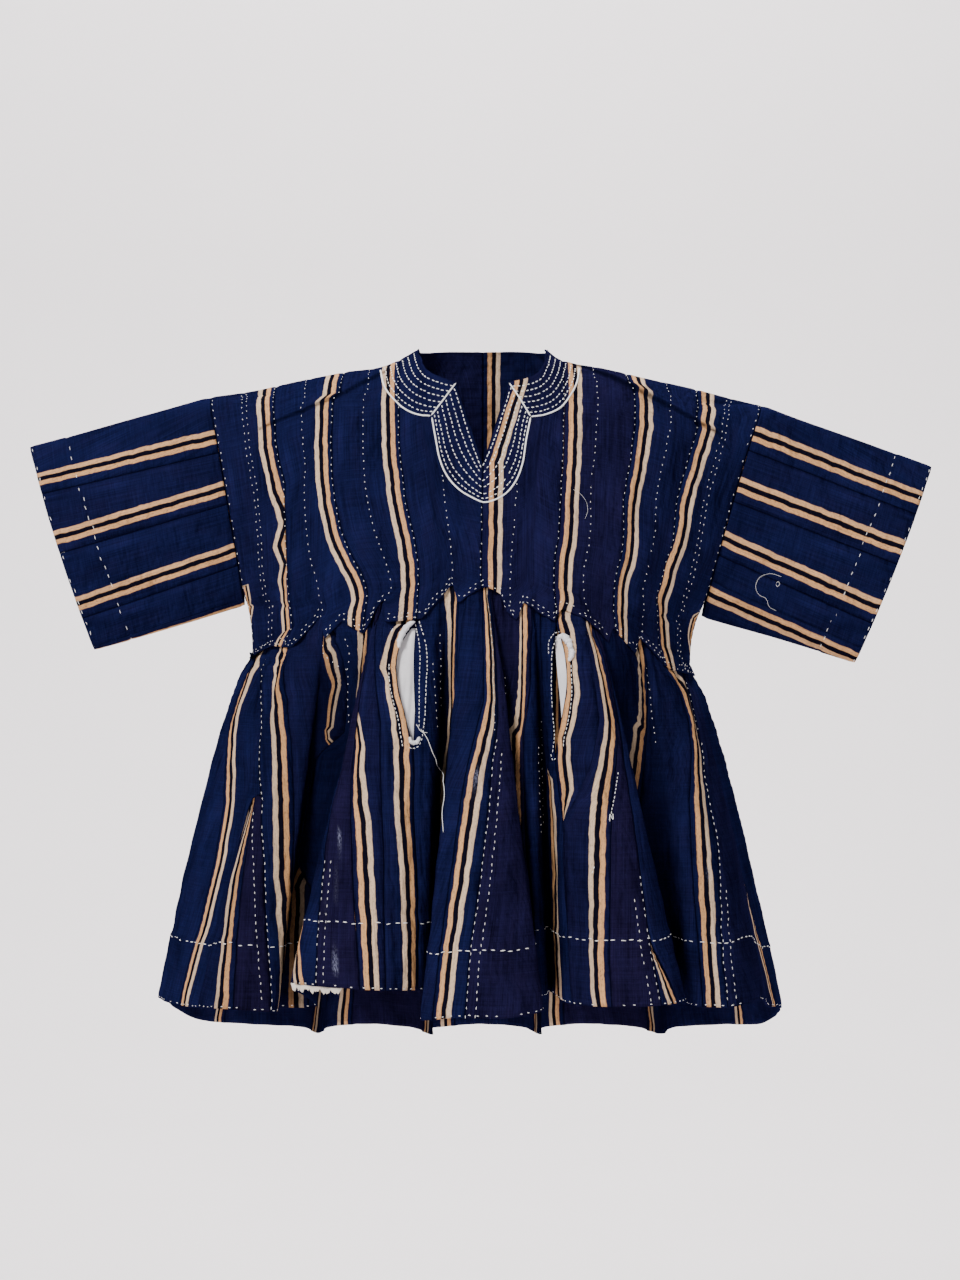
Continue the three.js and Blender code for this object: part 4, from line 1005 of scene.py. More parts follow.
def strip_places(plan, back):
    """The grid of a strip or gore: each point's distance round the hem and height, found in six rounds."""
    width = np.ptp(strip_edges({"left": plan["left"], "right": plan["right"]}, np.array(float(SKIRT_LOW))))
    count = max(6, int(round(max(width, 30) / SKIRT_STEP)))
    rows = SKIRT_ROWS
    if "top" in plan or "bottom" in plan:
        drop = plan.get("top", SKIRT_HIGH) - plan.get("bottom", SKIRT_LOW)
        rows = int(SKIRT_ROWS * drop / SKIRT_DROP) + 4
    u, v = np.meshgrid(np.linspace(0, 1, count), np.linspace(0, 1, rows))
    z = lerp(-300.0, float(SKIRT_LOW), v)
    for _ in range(6):
        around = lerp(*strip_edges(plan, z), u)
        waist = fold_value(WAIST, around)
        top = plan.get("top", np.minimum(waist_z(waist), sawtooth_z(waist, back) + 12))
        z = lerp(top, plan.get("bottom", fold_value(HEM_Z, around)), v)
    return np.clip(around, FRONT_END + 0.01 if back else 0, HEM - 0.01 if back else FRONT_END), z, u


def open_slits(grid, plan, around, z, u):
    """Draws an edge beside a pocket slit aside: P + w sin(pi f^bulge) n^1.5, n being 1 at the slit."""
    for key, direction, side in (("slit_left", 1, "after"), ("slit_right", -1, "before")):
        if key in plan:
            slit = SLITS[plan[key]]
            f = np.clip((slit["top"] - z) / (slit["top"] - slit["bottom"]), 0, 1)
            near = 1 - u if direction > 0 else u
            pull = direction * slit[side] * np.sin(np.pi * f ** slit["bulge"]) * near ** 1.5
            grid = grid + unit(skirt_point(around + 0.5, z) - skirt_point(around - 0.5, z)) * pull[..., None]
    return grid


def skirt_strip(plan, back):
    """A strip or gore of the skirt between two seam lines."""
    around, z, u = strip_places(plan, back)
    scale = np.linalg.norm(skirt_point(around + 1, z) - skirt_point(around - 1, z), axis=-1) / 2
    middle = u.shape[0] // 2, u.shape[1] // 2
    ahead = skirt_point(around[middle] + 2, z[middle]) - skirt_point(around[middle] - 2, z[middle])
    hidden = {key: on_table(plan[key], z) for key in ("hide_left", "hide_right") if key in plan}
    look = {key: plan[key] for key in ("pair_left", "pair_right", "tint", "sewn") if key in plan}
    s = Strip(open_slits(skirt_point(around, z), plan, around, z, u), np.cross(ahead, (0, 0, 1)),
              stripe=plan.get("stripe", 1.1), along=WAIST_Z - z, **look, **hidden)
    if "squeeze" in plan:
        s.from_right = PAIR_MIDDLE + (s.from_right - PAIR_MIDDLE) * on_table(plan["squeeze"], z)
    s.around, s.z, s.plan = around, z, plan
    for (top, at_top), (low, at_low), width in () if back else SCUFFS:
        f = (top - z) / (top - low)
        rubbed = smooth(f / 0.1) * smooth((1 - f) / 0.1) * bump(around - lerp(at_top, at_low, f), width)
        s.wear = np.maximum(s.wear, rubbed)
    # Painted shade: the valleys between the folds get values below 0, which darken the colour.
    s.wear -= 0.8 * trough(around, z)
    s.relief += skirt_relief(around, z, scale, back)
    behind_flap = z - sawtooth_z(fold_value(WAIST, around), back)
    s.relief -= TUCK * smooth((behind_flap + 26) / 24)
    # A narrow gore can't carry a high crease
    s.relief *= np.where(s.relief > 0, np.clip(s.width / 40, 0.1, 1), 1)
    s.press_seams(1.2)
    return s.place()


skirt_front_strips = [skirt_strip(p, False) for p in FRONT_PIECES]
skirt_back_strips = [skirt_strip(p, True) for p in BACK_PIECES]
print("skirt strips:", len(skirt_front_strips), "front,", len(skirt_back_strips), "back")

# %% [markdown]
# ## Cloth materials
# The strips are cotton dyed in indigo, woven with four kinds of warp: navy, tan, near-black and pale. The
# stripes could be an image, but then they would blur close up. Here they follow each point's distance from
# its seam, through one node group that is used by every striped piece, with the weave as fine bumps and the
# dye uneven between threads.

# %% Node helpers
def add(tree, kind, inputs=(), **settings):
    """Adds a node, sets it, and joins or fills its inputs."""
    node = tree.nodes.new(kind)
    for key, value in settings.items():
        setattr(node, key, value)
    for socket, value in dict(inputs).items():
        if isinstance(value, bpy.types.NodeSocket):
            tree.links.new(value, node.inputs[socket])
        else:
            node.inputs[socket].default_value = value
    return node


def calc(tree, operation, *values, clamp=False):
    """One sum on numbers."""
    node = add(tree, "ShaderNodeMath", dict(enumerate(values)), operation=operation, use_clamp=clamp)
    return node.outputs[0]


def blend_colour(tree, factor, a, b, kind="MIX"):
    """A mix of two colours."""
    return add(tree, "ShaderNodeMix", {0: factor, 6: a, 7: b}, data_type="RGBA", blend_type=kind).outputs[2]


def ramp(tree, value, stops, interpolation="LINEAR"):
    """A colour read off a ramp with the given stops."""
    node = add(tree, "ShaderNodeValToRGB", {0: value})
    node.color_ramp.interpolation = interpolation
    elements = node.color_ramp.elements
    for i, (position, colour) in enumerate(stops):
        element = elements[i] if i < 2 else elements.new(position)
        element.position = position
        element.color = (*colour, 1)
    return node.outputs[0]


def noise(tree, vector, scale, detail=2.0, rough=0.5):
    """Smooth random values from 0 to 1."""
    inputs = {"Vector": vector, "Scale": scale, "Detail": detail, "Roughness": rough}
    return add(tree, "ShaderNodeTexNoise", inputs).outputs[0]


def stretched(tree, vector, x, y, z=1.0):
    """A place scaled on each axis, which stretches the noise that is read there."""
    return add(tree, "ShaderNodeVectorMath", {0: vector, 1: (x, y, z)}, operation="MULTIPLY").outputs[0]


def new_group(name, inputs, outputs):
    """A node group with named sockets; returns the group, its inputs and its output node."""
    group = bpy.data.node_groups.new(name, "ShaderNodeTree")
    for label, kind in inputs:
        group.interface.new_socket(label, in_out="INPUT", socket_type=kind)
    for label, kind in outputs:
        group.interface.new_socket(label, in_out="OUTPUT", socket_type=kind)
    return group, group.nodes.new("NodeGroupInput"), group.nodes.new("NodeGroupOutput")


print("node helpers ready")

# %% [markdown]
# The woven cloth group turns two distances and a few masks into a colour and a height. Hand weaving is never
# even, so the stripe edges wander by about half a millimetre, single threads are darker or lighter along
# their whole length, and thick places in the yarn show as small ticks.

# %% Woven stripes group
NAVY, PURPLE = (0.0052, 0.0065, 0.034, 1), (0.0080, 0.0060, 0.026, 1)
TAN, PALE, DARK = (0.54, 0.285, 0.13, 1), (0.56, 0.40, 0.27, 1), (0.004, 0.0035, 0.009, 1)
HEATHER, TAN_SPECK, PALE_SPECK = (0.02, 0.028, 0.085, 1), (0.12, 0.07, 0.06, 1), (0.25, 0.18, 0.13, 1)
# Rubbed is dye worn off in scuffs; the next colour is painted shade for the valleys between the skirt's
# folds.
# The last colour is painted shade along the seam grooves and painted shadow under the shoulder laps' edges.
RUBBED, VALLEY_SHADE, GROOVE_SHADE = (0.26, 0.27, 0.4, 1), (0.0008, 0.0011, 0.005, 1), (0.001, 0.0014, 0.006, 1)
# Where the tan, dark and pale stripes end, in millimetres from the seam, with their mask colours
STRIPE_STOPS = [(5.3, (1, 0, 0)), (10.7, (0, 1, 0)), (15.8, (0, 0, 1)), (21.0, (0, 0, 0))]
STRIPE_RANGE, STRIPE_EDGE = 40.0, 0.35
WARP_WAVE, WEFT_WAVE = 1.25, 1.5  # millimetres from one thread to the next but one


def stripe_masks(tree, distance, pair):
    """Red, green and blue masks for the tan, dark and pale stripes at a distance from the seam."""
    stops = [(0.0, (0, 0, 0))]
    before = (0, 0, 0)
    for level, colour in STRIPE_STOPS:
        stops.append(((level - STRIPE_EDGE) / STRIPE_RANGE, before))
        stops.append(((level + STRIPE_EDGE) / STRIPE_RANGE, colour))
        before = colour
    colour = ramp(tree, calc(tree, "DIVIDE", distance, STRIPE_RANGE, clamp=True), stops)
    return add(tree, "ShaderNodeVectorMath", {0: colour, 3: pair}, operation="SCALE").outputs[0]


def build_stripes_group():
    """Stripe masks from two distances; colours varied by warp, weft, ticks, clouds and scuffs, with painted
    shade.
    """
    numbers = ("From left", "From right", "Pair left", "Pair right", "Edge", "Pale", "Tint", "Wear")
    group, given, result = new_group(
        "woven stripes",
        [*((name, "NodeSocketFloat") for name in numbers), ("Thread place", "NodeSocketVector")],
        [("Color", "NodeSocketColor"), ("Height", "NodeSocketFloat"), ("Rough", "NodeSocketFloat")])
    given = given.outputs
    place = stretched(group, given["Thread place"], 1000, 1000)

    def plus(a, b, **kind):
        return calc(group, "ADD", a, b, **kind)

    def times(a, b, **kind):
        return calc(group, "MULTIPLY", a, b, **kind)

    def scaled(value, factor, shift, **kind):
        return calc(group, "MULTIPLY_ADD", value, factor, shift, **kind)

    def threads(across, along, detail, rough=0.5):
        return noise(group, stretched(group, place, across, along), 1.0, detail, rough)

    def shaded(colour, value):
        grey = add(group, "ShaderNodeCombineColor", {0: value, 1: value, 2: value}).outputs[0]
        return blend_colour(group, 1.0, colour, grey, "MULTIPLY")

    wander = plus(scaled(threads(0.2, 0.09, 3.0), 1.6, -0.8), scaled(threads(0.008, 0.045, 2.0), 3.6, -1.8))
    warp, weft = threads(1.1, 0.012, 1.0), threads(0.02, 0.8, 1.0)
    ticks, clouds = threads(0.75, 0.3, 2.0, 0.7), threads(0.02, 0.012, 3.0)
    left, right = (stripe_masks(group, plus(given[f"From {side}"], wander), given[f"Pair {side}"])
                   for side in ("left", "right"))
    masks = add(group, "ShaderNodeVectorMath", {0: left, 1: right}, operation="MAXIMUM").outputs[0]
    masks = add(group, "ShaderNodeSeparateXYZ", {0: masks}).outputs

    streak = plus(plus(scaled(warp, 1.5, 0.25), scaled(weft, 0.9, -0.45)), scaled(clouds, 1.7, -0.85))
    streak = calc(group, "MAXIMUM", streak, 0.25)
    patches = scaled(threads(0.05, 0.022, 4.0, 0.6), 3.0, -1.35, clamp=True)
    tint = plus(given["Tint"], times(patches, 0.3), clamp=True)
    navy = shaded(blend_colour(group, tint, NAVY, PURPLE), streak)
    navy = blend_colour(group, times(calc(group, "GREATER_THAN", ticks, 0.66), 0.22), navy, HEATHER)

    shade = plus(scaled(warp, 0.9, 0.58), scaled(ticks, 0.7, -0.35))
    specks = times(calc(group, "LESS_THAN", ticks, 0.38), 0.5)
    tan = blend_colour(group, specks, shaded(TAN, shade), TAN_SPECK)
    second = blend_colour(group, given["Pale"], TAN, PALE)
    pale = blend_colour(group, specks, shaded(second, shade), PALE_SPECK)
    colour = navy
    for mask, stripe in zip(masks, (tan, DARK, pale)):
        colour = blend_colour(group, mask, colour, stripe)

    worn = times(given["Wear"], scaled(ticks, 3.0, -1.2, clamp=True), clamp=True)
    colour = blend_colour(group, worn, colour, RUBBED)
    # Painted shade: values below 0 darken the colour in the valleys between the skirt's folds.
    colour = blend_colour(group, times(given["Wear"], -0.72, clamp=True), colour, VALLEY_SHADE)
    # Painted shade along the seam grooves, and painted shadow under the edges of the shoulder laps.
    groove = times(calc(group, "SUBTRACT", 1.1, given["Edge"], clamp=True), 0.85)
    colour = blend_colour(group, groove, colour, GROOVE_SHADE)

    parts = add(group, "ShaderNodeSeparateXYZ", {0: place}).outputs
    across, along = (calc(group, "SINE", times(part, 2 * np.pi / wave))
                     for part, wave in zip(parts, (WARP_WAVE, WEFT_WAVE)))
    height = plus(plus(times(times(across, along), 0.5), times(ticks, 1.4)), weft)
    for name, value in (("Color", colour), ("Height", height), ("Rough", scaled(ticks, 0.3, 0.62))):
        group.links.new(value, result.inputs[name])
    return group


stripes_group = build_stripes_group()
print("group:", stripes_group.name, len(stripes_group.nodes), "nodes")

# %% Striped cloth material
def new_material(name):
    """A material with its node tree and its surface node."""
    material = bpy.data.materials.new(name)
    material.use_nodes = True
    tree = material.node_tree
    return material, tree, tree.nodes["Principled BSDF"]


def striped_cloth():
    """The group's colour and fine bump, over soft rumples on Object coordinates."""
    material, tree, cloth = new_material("striped_cloth")
    group = add(tree, "ShaderNodeGroup", node_tree=stripes_group)
    for name in CLOTH_ATTRIBUTES:
        value = add(tree, "ShaderNodeAttribute", attribute_name=name).outputs["Fac"]
        tree.links.new(value, group.inputs[name.capitalize().replace("_", " ")])
    tree.links.new(add(tree, "ShaderNodeUVMap", uv_map="cloth").outputs[0], group.inputs["Thread place"])
    tree.links.new(group.outputs["Color"], cloth.inputs["Base Color"])
    tree.links.new(group.outputs["Rough"], cloth.inputs["Roughness"])
    place = add(tree, "ShaderNodeTexCoord").outputs["Object"]
    soft = noise(tree, stretched(tree, place, 30, 30, 13), 1.0, 3.0, 0.55)
    small = noise(tree, stretched(tree, place, 90, 90, 55), 1.0, 2.0)
    wrinkles = calc(tree, "MULTIPLY_ADD", small, 0.22, soft)
    rumpled = add(tree, "ShaderNodeBump", {"Strength": 1.0, "Distance": 0.016, "Height": wrinkles})
    weave = {"Strength": 0.55, "Distance": 0.0004, "Height": group.outputs["Height"],
             "Normal": rumpled.outputs[0]}
    bumps = add(tree, "ShaderNodeBump", weave)
    tree.links.new(bumps.outputs[0], cloth.inputs["Normal"])
    cloth.inputs["Specular IOR Level"].default_value = 0.0
    return material


cloth_material = striped_cloth()
print("material:", cloth_material.name)

# %% [markdown]
# The white things are three: the sewing thread, the pocket bags' thin cotton and the tape inside the hem.
# Each gets its own plain weave or twist, with a little grey and cream, since handled white cotton is never
# one white.

# %% White cotton materials
def cotton(name, light, dark, scale, stretch, strength, distance):
    """Cotton in two close tones, mottled by noise, with a woven or twisted bump on Object coordinates."""
    material, tree, surface = new_material(name)
    place = add(tree, "ShaderNodeTexCoord").outputs["Object"]
    mottle = noise(tree, place, scale * 0.08, 3.0)
    threads = noise(tree, stretched(tree, place, *stretch), scale, 2.0, 0.6)
    tone = calc(tree, "ADD", calc(tree, "MULTIPLY", mottle, 0.6), calc(tree, "MULTIPLY", threads, 0.6))
    colour = ramp(tree, tone, [(0.35, dark), (0.75, light)])
    tree.links.new(colour, surface.inputs["Base Color"])
    tree.links.new(calc(tree, "MULTIPLY_ADD", threads, 0.25, 0.65), surface.inputs["Roughness"])
    bumps = add(tree, "ShaderNodeBump", {"Strength": strength, "Distance": distance, "Height": threads})
    tree.links.new(bumps.outputs[0], surface.inputs["Normal"])
    surface.inputs["Sheen Weight"].default_value = 0.1
    surface.inputs["Specular IOR Level"].default_value = 0.3
    return material


thread_material = cotton("white_thread", (0.95, 0.94, 0.93), (0.75, 0.74, 0.75), 900, (1, 1, 1), 0.6, 0.0003)
bag_material = cotton("pocket_cotton", (0.8, 0.78, 0.8), (0.62, 0.6, 0.64), 700, (1, 1, 3), 0.4, 0.0004)
tape_material = cotton("hem_tape", (0.74, 0.68, 0.6), (0.5, 0.43, 0.36), 600, (1, 1, 2), 0.6, 0.0006)
print("white materials: thread, pocket cotton, hem tape")

# %% [markdown]
# ## The garment parts
# Six sheets: front and back of the body, two sleeves, front and back of the skirt. Each stands in for its
# CAD solids.

# %% Garment objects
def names_with(start):
    """The CAD nodes whose names start so."""
    return [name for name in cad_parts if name.startswith(start)]


def cloth_area(strips):
    """The cloth's area in square metres: half the cross product of each face's diagonals."""
    diagonals = [(s.grid[1:, 1:] - s.grid[:-1, :-1], s.grid[1:, :-1] - s.grid[:-1, 1:]) for s in strips]
    return sum(np.linalg.norm(np.cross(a, b), axis=-1).sum() / 2 for a, b in diagonals) * MM * MM


# Each sheet: its strips, the CAD nodes that it stands in for, the size it was cut to and the area of a
# gathered one
GARMENT = [
    ("body_front", body_front_strips, ["bodice_front"], (0.62, 0.36), None),
    ("body_back", body_back_strips, ["bodice_back"], (0.62, 0.36), None),
    ("sleeve_left_cloth", sleeve_left_strips, ["sleeve_left"], (0.52, 0.24), None),
    ("sleeve_right_cloth", sleeve_right_strips, ["sleeve_right"], (0.52, 0.24), None),
    ("skirt_front", skirt_front_strips, names_with("skirt_front"), (1.9, 0.44), 0.57),
    ("skirt_back", skirt_back_strips, names_with("skirt_back"), (1.6, 0.48), 0.57),
]
for name, strips, nodes, *_ in GARMENT:
    obj = dress(cloth_object(name, strips), cloth_material)
    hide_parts(*nodes)
    print(name, len(obj.data.polygons), "faces,", round(cloth_area(strips), 3), "m2")

# %% [markdown]
# ## Stitches
# All the sewing is by hand in white cotton: small running stitches along every seam, longer ones at the
# hems. Each stitch could be painted, but a real one stands on the cloth and catches light, so each is a tiny
# grain of thread: a low ellipsoid laid along its row. One mesh holds hundreds of them.

# %% Stitch tools
def grain():
    """A unit ellipsoid of 3 rings of 6 points and 2 poles: (cos p, sin p cos q, sin p sin q)."""
    p, q = np.meshgrid(np.pi * np.array([0.2, 0.5, 0.8]), 2 * np.pi * np.arange(6) / 6, indexing="ij")
    rings = np.stack([np.cos(p), np.sin(p) * np.cos(q), np.sin(p) * np.sin(q)], -1).reshape(-1, 3)
    i = np.arange(6)
    j = (i + 1) % 6
    faces = [(18 + 0 * i, i, j)]
    for ring in (0, 6):
        faces += [(ring + i, ring + 6 + i, ring + 6 + j), (ring + i, ring + 6 + j, ring + j)]
    faces.append((12 + i, 19 + 0 * i, 12 + j))
    return np.concatenate([rings, [[1, 0, 0], [-1, 0, 0]]]), np.concatenate([np.stack(f, -1) for f in faces])


GRAIN_POINTS, GRAIN_FACES = grain()
LIFT = 0.15  # how far the middle of a stitch stands off the cloth


def travel(points):
    """The distance travelled along a line, and the same line as a function of that distance."""
    far = np.r_[0, np.cumsum(np.linalg.norm(np.diff(points, axis=0), axis=1))]
    return far, lambda at, values=points: np.stack([np.interp(at, far, values[:, k]) for k in range(3)], -1)


print("grain of thread:", len(GRAIN_FACES), "triangles")

# %% Rows of stitches
class Sewing:
    """Gathers rows of stitches, then makes one mesh of them."""

    def __init__(self, name, seed):
        self.name, self.random, self.parts = name, np.random.default_rng(seed), []

    def row(self, line, pitch, length, width=1.0, start=0.5, keep=slice(None), skip=0.02, wander=0.3):
        """A row of stitches, length by width, one every pitch, along a line of points and normals."""
        points, normals = (part[keep] for part in line)
        if len(points) < 2:
            return
        far, line_at = travel(points)
        places = np.arange(start * pitch, far[-1] - 0.3 * length, pitch)
        places = places + self.random.normal(0, 0.07 * pitch, len(places))
        places = places[self.random.random(len(places)) > skip]
        if not len(places):
            return
        ahead, behind = line_at(places + length / 2), line_at(places - length / 2)
        up = line_at(places, normals)
        along = unit(ahead - behind)
        side = unit(np.cross(up, along))
        turn = self.random.normal(0, 0.07, (len(places), 1))
        along = unit(along + side * turn)
        side = unit(np.cross(up, along))
        up = np.cross(along, side)
        aside = self.random.normal(0, wander, (len(places), 1))
        middle = (ahead + behind) / 2 + side * aside + up * LIFT
        sizes = length * self.random.uniform(0.85, 1.15, (len(places), 1)) / 2
        self.parts.append(np.stack([middle, along * sizes, side * width / 2, up * width * 0.42], 1))

    def make(self):
        """One mesh of all the stitches: a grain's point (a, b, c) is at middle + a along + b side + c up."""
        parts = np.concatenate(self.parts)
        points = parts[:, :1] + GRAIN_POINTS @ parts[:, 1:]
        faces = GRAIN_FACES[None] + (len(GRAIN_POINTS) * np.arange(len(parts)))[:, None, None]
        obj = mesh_object(self.name, points.reshape(-1, 3) * MM, faces.reshape(-1, 3))
        dress(obj, thread_material)
        print(self.name, len(parts), "stitches")


print("rows can be sewn")

# %% [markdown]
# The body is sewn with very small stitches, hardly more than dots, in rows beside each seam and down the
# middle of each strip, where a lining seam is caught through. Two rows follow the sawtooth edge at the
# waist.

# %% Body stitches
DOT = {"pitch": 8.4, "length": 1.6, "width": 0.8}
ARMHOLE_DOT = {"pitch": 9.8, "length": 2.0, "width": 0.75, "skip": 0.12}
WAIST_DOT = {"pitch": 7.4, "length": 2.0, "width": 0.75, "start": 0.3, "skip": 0.22, "wander": 0.7}
SEAM_INSET, ARMHOLE_INSET = 0.9, 2.2  # from an edge to the row beside it
TWIN_SHIFT = 2.6  # half the gap between the two rows down a side strip
ZIGZAG_HEIGHTS = (3.0, 8.5)  # of the rows above the sawtooth edge
# For each strip: the height its right seam is sewn from, the share of its width at which its middle row
# runs, and the height that row starts from. None leaves a row out.
FRONT_SEWING = [(-8, None, 0), (-8, 0.46, 0), (-8, 0.46, 0), (-167, 0.535, -129), (-8, 0.395, -141),
                (-8, 0.46, 0), (-8, 0.56, 0), (None, None, 0)]
BACK_SEWING = [(-8, None, 0), (-8, 0.5, 0), (-8, 0.46, -30), (-8, 0.5, -34), (-8, 0.48, -34), (-8, 0.5, -30),
               (-8, 0.5, 0), (None, None, 0)]


def side_strip_rows(sewing, s, edge):
    """A row along the armhole edge, and a pair of rows down the strip that lean outwards near the waist."""
    sewing.row(s.down(**{edge: ARMHOLE_INSET}), keep=slice(2, BODY_ROWS + 8), **ARMHOLE_DOT)
    rows = len(s.width)
    share = np.interp(np.arange(rows), [0, BODY_ROWS * 0.9, rows], [0.52, 0.5, 0.32])
    share = share if edge == "left" else 1 - share
    for shift in (-TWIN_SHIFT, TWIN_SHIFT):
        sewing.row(s.down(left=share * s.width[:, 0] + shift), keep=slice(3, None), **DOT)


def zigzag_rows(sewing, s):
    """Two rows above the sawtooth edge, sewn on its long slopes and left out on the short steep ones."""
    for height in ZIGZAG_HEIGHTS:
        line = s.over(height)
        gentle = np.abs(np.gradient(line[0][:, 2])) < 2.6 * np.abs(np.gradient(line[0][:, 0])) + 0.8
        for run in np.split(np.arange(len(gentle)), np.where(np.diff(gentle.astype(int)) != 0)[0] + 1):
            if gentle[run[0]] and len(run) > 3:
                sewing.row(line, keep=run, **WAIST_DOT)


def body_stitches(name, strips, rows, seed):
    """Seam rows, middle rows, side rows and the rows of the sawtooth edge, on the front or the back."""
    sewing = Sewing(name, seed)
    for i, (s, (seam_top, share, share_top)) in enumerate(zip(strips, rows)):
        if seam_top:
            line = s.down(right=SEAM_INSET)
            sewing.row(line, keep=line[0][:, 2] < seam_top, **DOT)
        if share:
            line = s.down(share=share)
            sewing.row(line, keep=line[0][:, 2] < share_top, **DOT)
        else:
            side_strip_rows(sewing, s, "left" if i == 0 else "right")
        zigzag_rows(sewing, s)
    sewing.make()


body_stitches("stitches_body_front", body_front_strips, FRONT_SEWING, 31)
body_stitches("stitches_body_back", body_back_strips, BACK_SEWING, 32)

# %% [markdown]
# The skirt's gores are sewn in with longer stitches, often in two rows. A long row fixes the turned-up hem,
# and small stitches close its edge.

# %% Skirt stitches
DASH = {"pitch": 8.2, "length": 3.2, "width": 0.72}
HEM_DASH = {"pitch": 9.8, "length": 5.2, "width": 1.1, "skip": 0.12, "wander": 0.7}
EDGE_DASH = {"pitch": 9.4, "length": 2.6, "width": 0.9, "skip": 0.25}
HEM_EDGE_ROW, CUFF_EDGE_ROW = 2.0, 2.2  # heights of the rows that close the edges
# Rows on the skirt: the strip's left seam, then which edge the row follows, how far in, and from what height
# down
SKIRT_SEWING = [
    ("b gore", "left", 1.0, -368), ("b", "right", 11, -500), ("d", "left", 1.0, -548),
    ("d", "left", 11, -548), ("g gore", "left", 1.0, -418), ("g gore", "left", 11, -432),
    ("i", "right", 2.0, -560), ("i", "right", 12.5, -585), ("k gore", "left", 1.0, -430),
    ("k gore", "left", 9.5, -585)]
# Rows of dots where a lining seam is caught through: distance round the hem at two heights
SKIRT_DOTS = [
    ((-300, 92), (-368, 124)), ((-318, 362), (-400, 382)), ((-300, 300), (-352, 372)),
    ((-330, 655), (-420, 668)), ((-300, 680), (-390, 700)), ((-275, 985), (-420, 968)),
    ((-290, 1060), (-400, 1092)), ((-340, 1108), (-420, 1118)), ((-400, 1222), (-522, 1204)),
    ((-430, 1180), (-530, 1176)), ((-360, 1520), (-440, 1512)), ((-350, 1600), (-440, 1585)),
    ((-360, 1700), (-430, 1697))]


def dotted_row(sewing, s, top, low):
    """A row of dots between two places (height, distance round the hem), where it crosses this strip."""
    z, start, end = s.z[:, s.z.shape[1] // 2], s.around[:, 0], s.around[:, -1]
    share = (np.interp(-z, [-top[0], -low[0]], [top[1], low[1]]) - start) / np.maximum(end - start, 1)
    inside = (share > 0) & (share < 1) & (z < top[0]) & (z > low[0]) & below_seam(s, False)
    column = np.clip(share, 0, 1) * (s.z.shape[1] - 1)
    sewing.row(s.at(np.arange(len(z), dtype=float), column), keep=inside, **DOT)


def below_seam(s, back):
    """The rows of a skirt strip that show under the body's sawtooth edge."""
    return s.z[:, 0] < sawtooth_z(fold_value(WAIST, s.around[:, 0]), back) - 3


def skirt_stitches(name, strips, back, seed):
    """Rows beside the gores, rows of dots and the two rows of the hem, on the front or the back."""
    sewing = Sewing(name, seed)
    for s in strips:
        for left, edge, inset, top in () if back else SKIRT_SEWING:
            if left == s.plan["left"]:
                sewing.row(s.down(**{edge: inset}), keep=s.z[:, 0] < top, **DASH)
        if back and s.plan["tint"] > 0.5:
            sewing.row(s.down(left=1.0), keep=below_seam(s, back), **DASH)
            sewing.row(s.down(right=11), keep=s.z[:, 0] < -430, **DASH)
        for top, low in () if back else SKIRT_DOTS:
            dotted_row(sewing, s, top, low)
        if "bottom" not in s.plan:
            sewing.row(s.over(HEM_BAND - 1.0), **HEM_DASH)
            sewing.row(s.over(HEM_EDGE_ROW), **EDGE_DASH)
    sewing.make()


skirt_stitches("stitches_skirt_front", skirt_front_strips, False, 33)
skirt_stitches("stitches_skirt_back", skirt_back_strips, True, 34)

# %% Sleeve stitches
CUFF_DASH = {"pitch": 11.5, "length": 4.6, "width": 0.8, "skip": 0.14, "wander": 0.6}
CUFF_EDGE_DASH = {"pitch": 13.0, "length": 4.4, "width": 0.75, "skip": 0.28, "wander": 0.5}
for name, strips, seed in (("stitches_sleeve_left", sleeve_left_strips, 35),
                           ("stitches_sleeve_right", sleeve_right_strips, 36)):
    sewing = Sewing(name, seed)
    for s in strips:
        sewing.row(s.over(CUFF_BAND), **CUFF_DASH)
        sewing.row(s.over(CUFF_EDGE_ROW), **CUFF_EDGE_DASH)
    sewing.make()

# %% [markdown]
# ## Neck embroidery
# The neck carries rows of fine white running stitches that follow its curve on both sides, and more rows
# round the V-shaped slit, all edged with a white cord. The rows are worked out between an inner and an outer
# line, then laid on the front and the back of the body.

# %% Laying lines on the cloth
CLOSE = 4  # how far from a place, in millimetres, a point of the cloth still counts as there


def on_sheet(strips, line, nearest_front=False):
    """Points of the sheet at places x, z: the closest grid point, moved in its tangent plane, smoothed."""
    grid = np.concatenate([s.grid.reshape(-1, 3) for s in strips])
    face = np.concatenate([s.face.reshape(-1, 3) for s in strips])
    x, z = line.T
    gap = (grid[None, :, 0] - x[:, None]) ** 2 + (grid[None, :, 2] - z[:, None]) ** 2
    if nearest_front:
        gap = np.where(gap < CLOSE ** 2, grid[None, :, 1] * 1e-3 - 10, gap)
    i = gap.argmin(1)
    point, up = grid[i].copy(), face[i]
    flat = np.abs(up[:, 1]) > 0.35
    slope = np.where(flat, up[:, 1], 1e9)
    shift = (up[:, 0] * (x - point[:, 0]) + up[:, 2] * (z - point[:, 2])) / slope
    point[:, 1] -= np.where(flat, np.clip(shift, -CLOSE, CLOSE), 0)
    point[:, 0] = np.where(flat, x, point[:, 0])
    point[:, 2] = np.where(flat, z, point[:, 2])
    padded = np.concatenate([point[:1], point, point[-1:]])
    return 0.25 * padded[:-2] + 0.5 * padded[1:-1] + 0.25 * padded[2:], up


def even(points, count=60):
    """Points evenly spaced along a smooth line through the given ones."""
    points = np.asarray(points, float)
    t = np.r_[0, np.cumsum(np.hypot(*np.diff(points, axis=0).T))]
    s = np.linspace(0, t[-1], count)
    return np.stack([through(t, points[:, 0])(s), through(t, points[:, 1])(s)], -1)


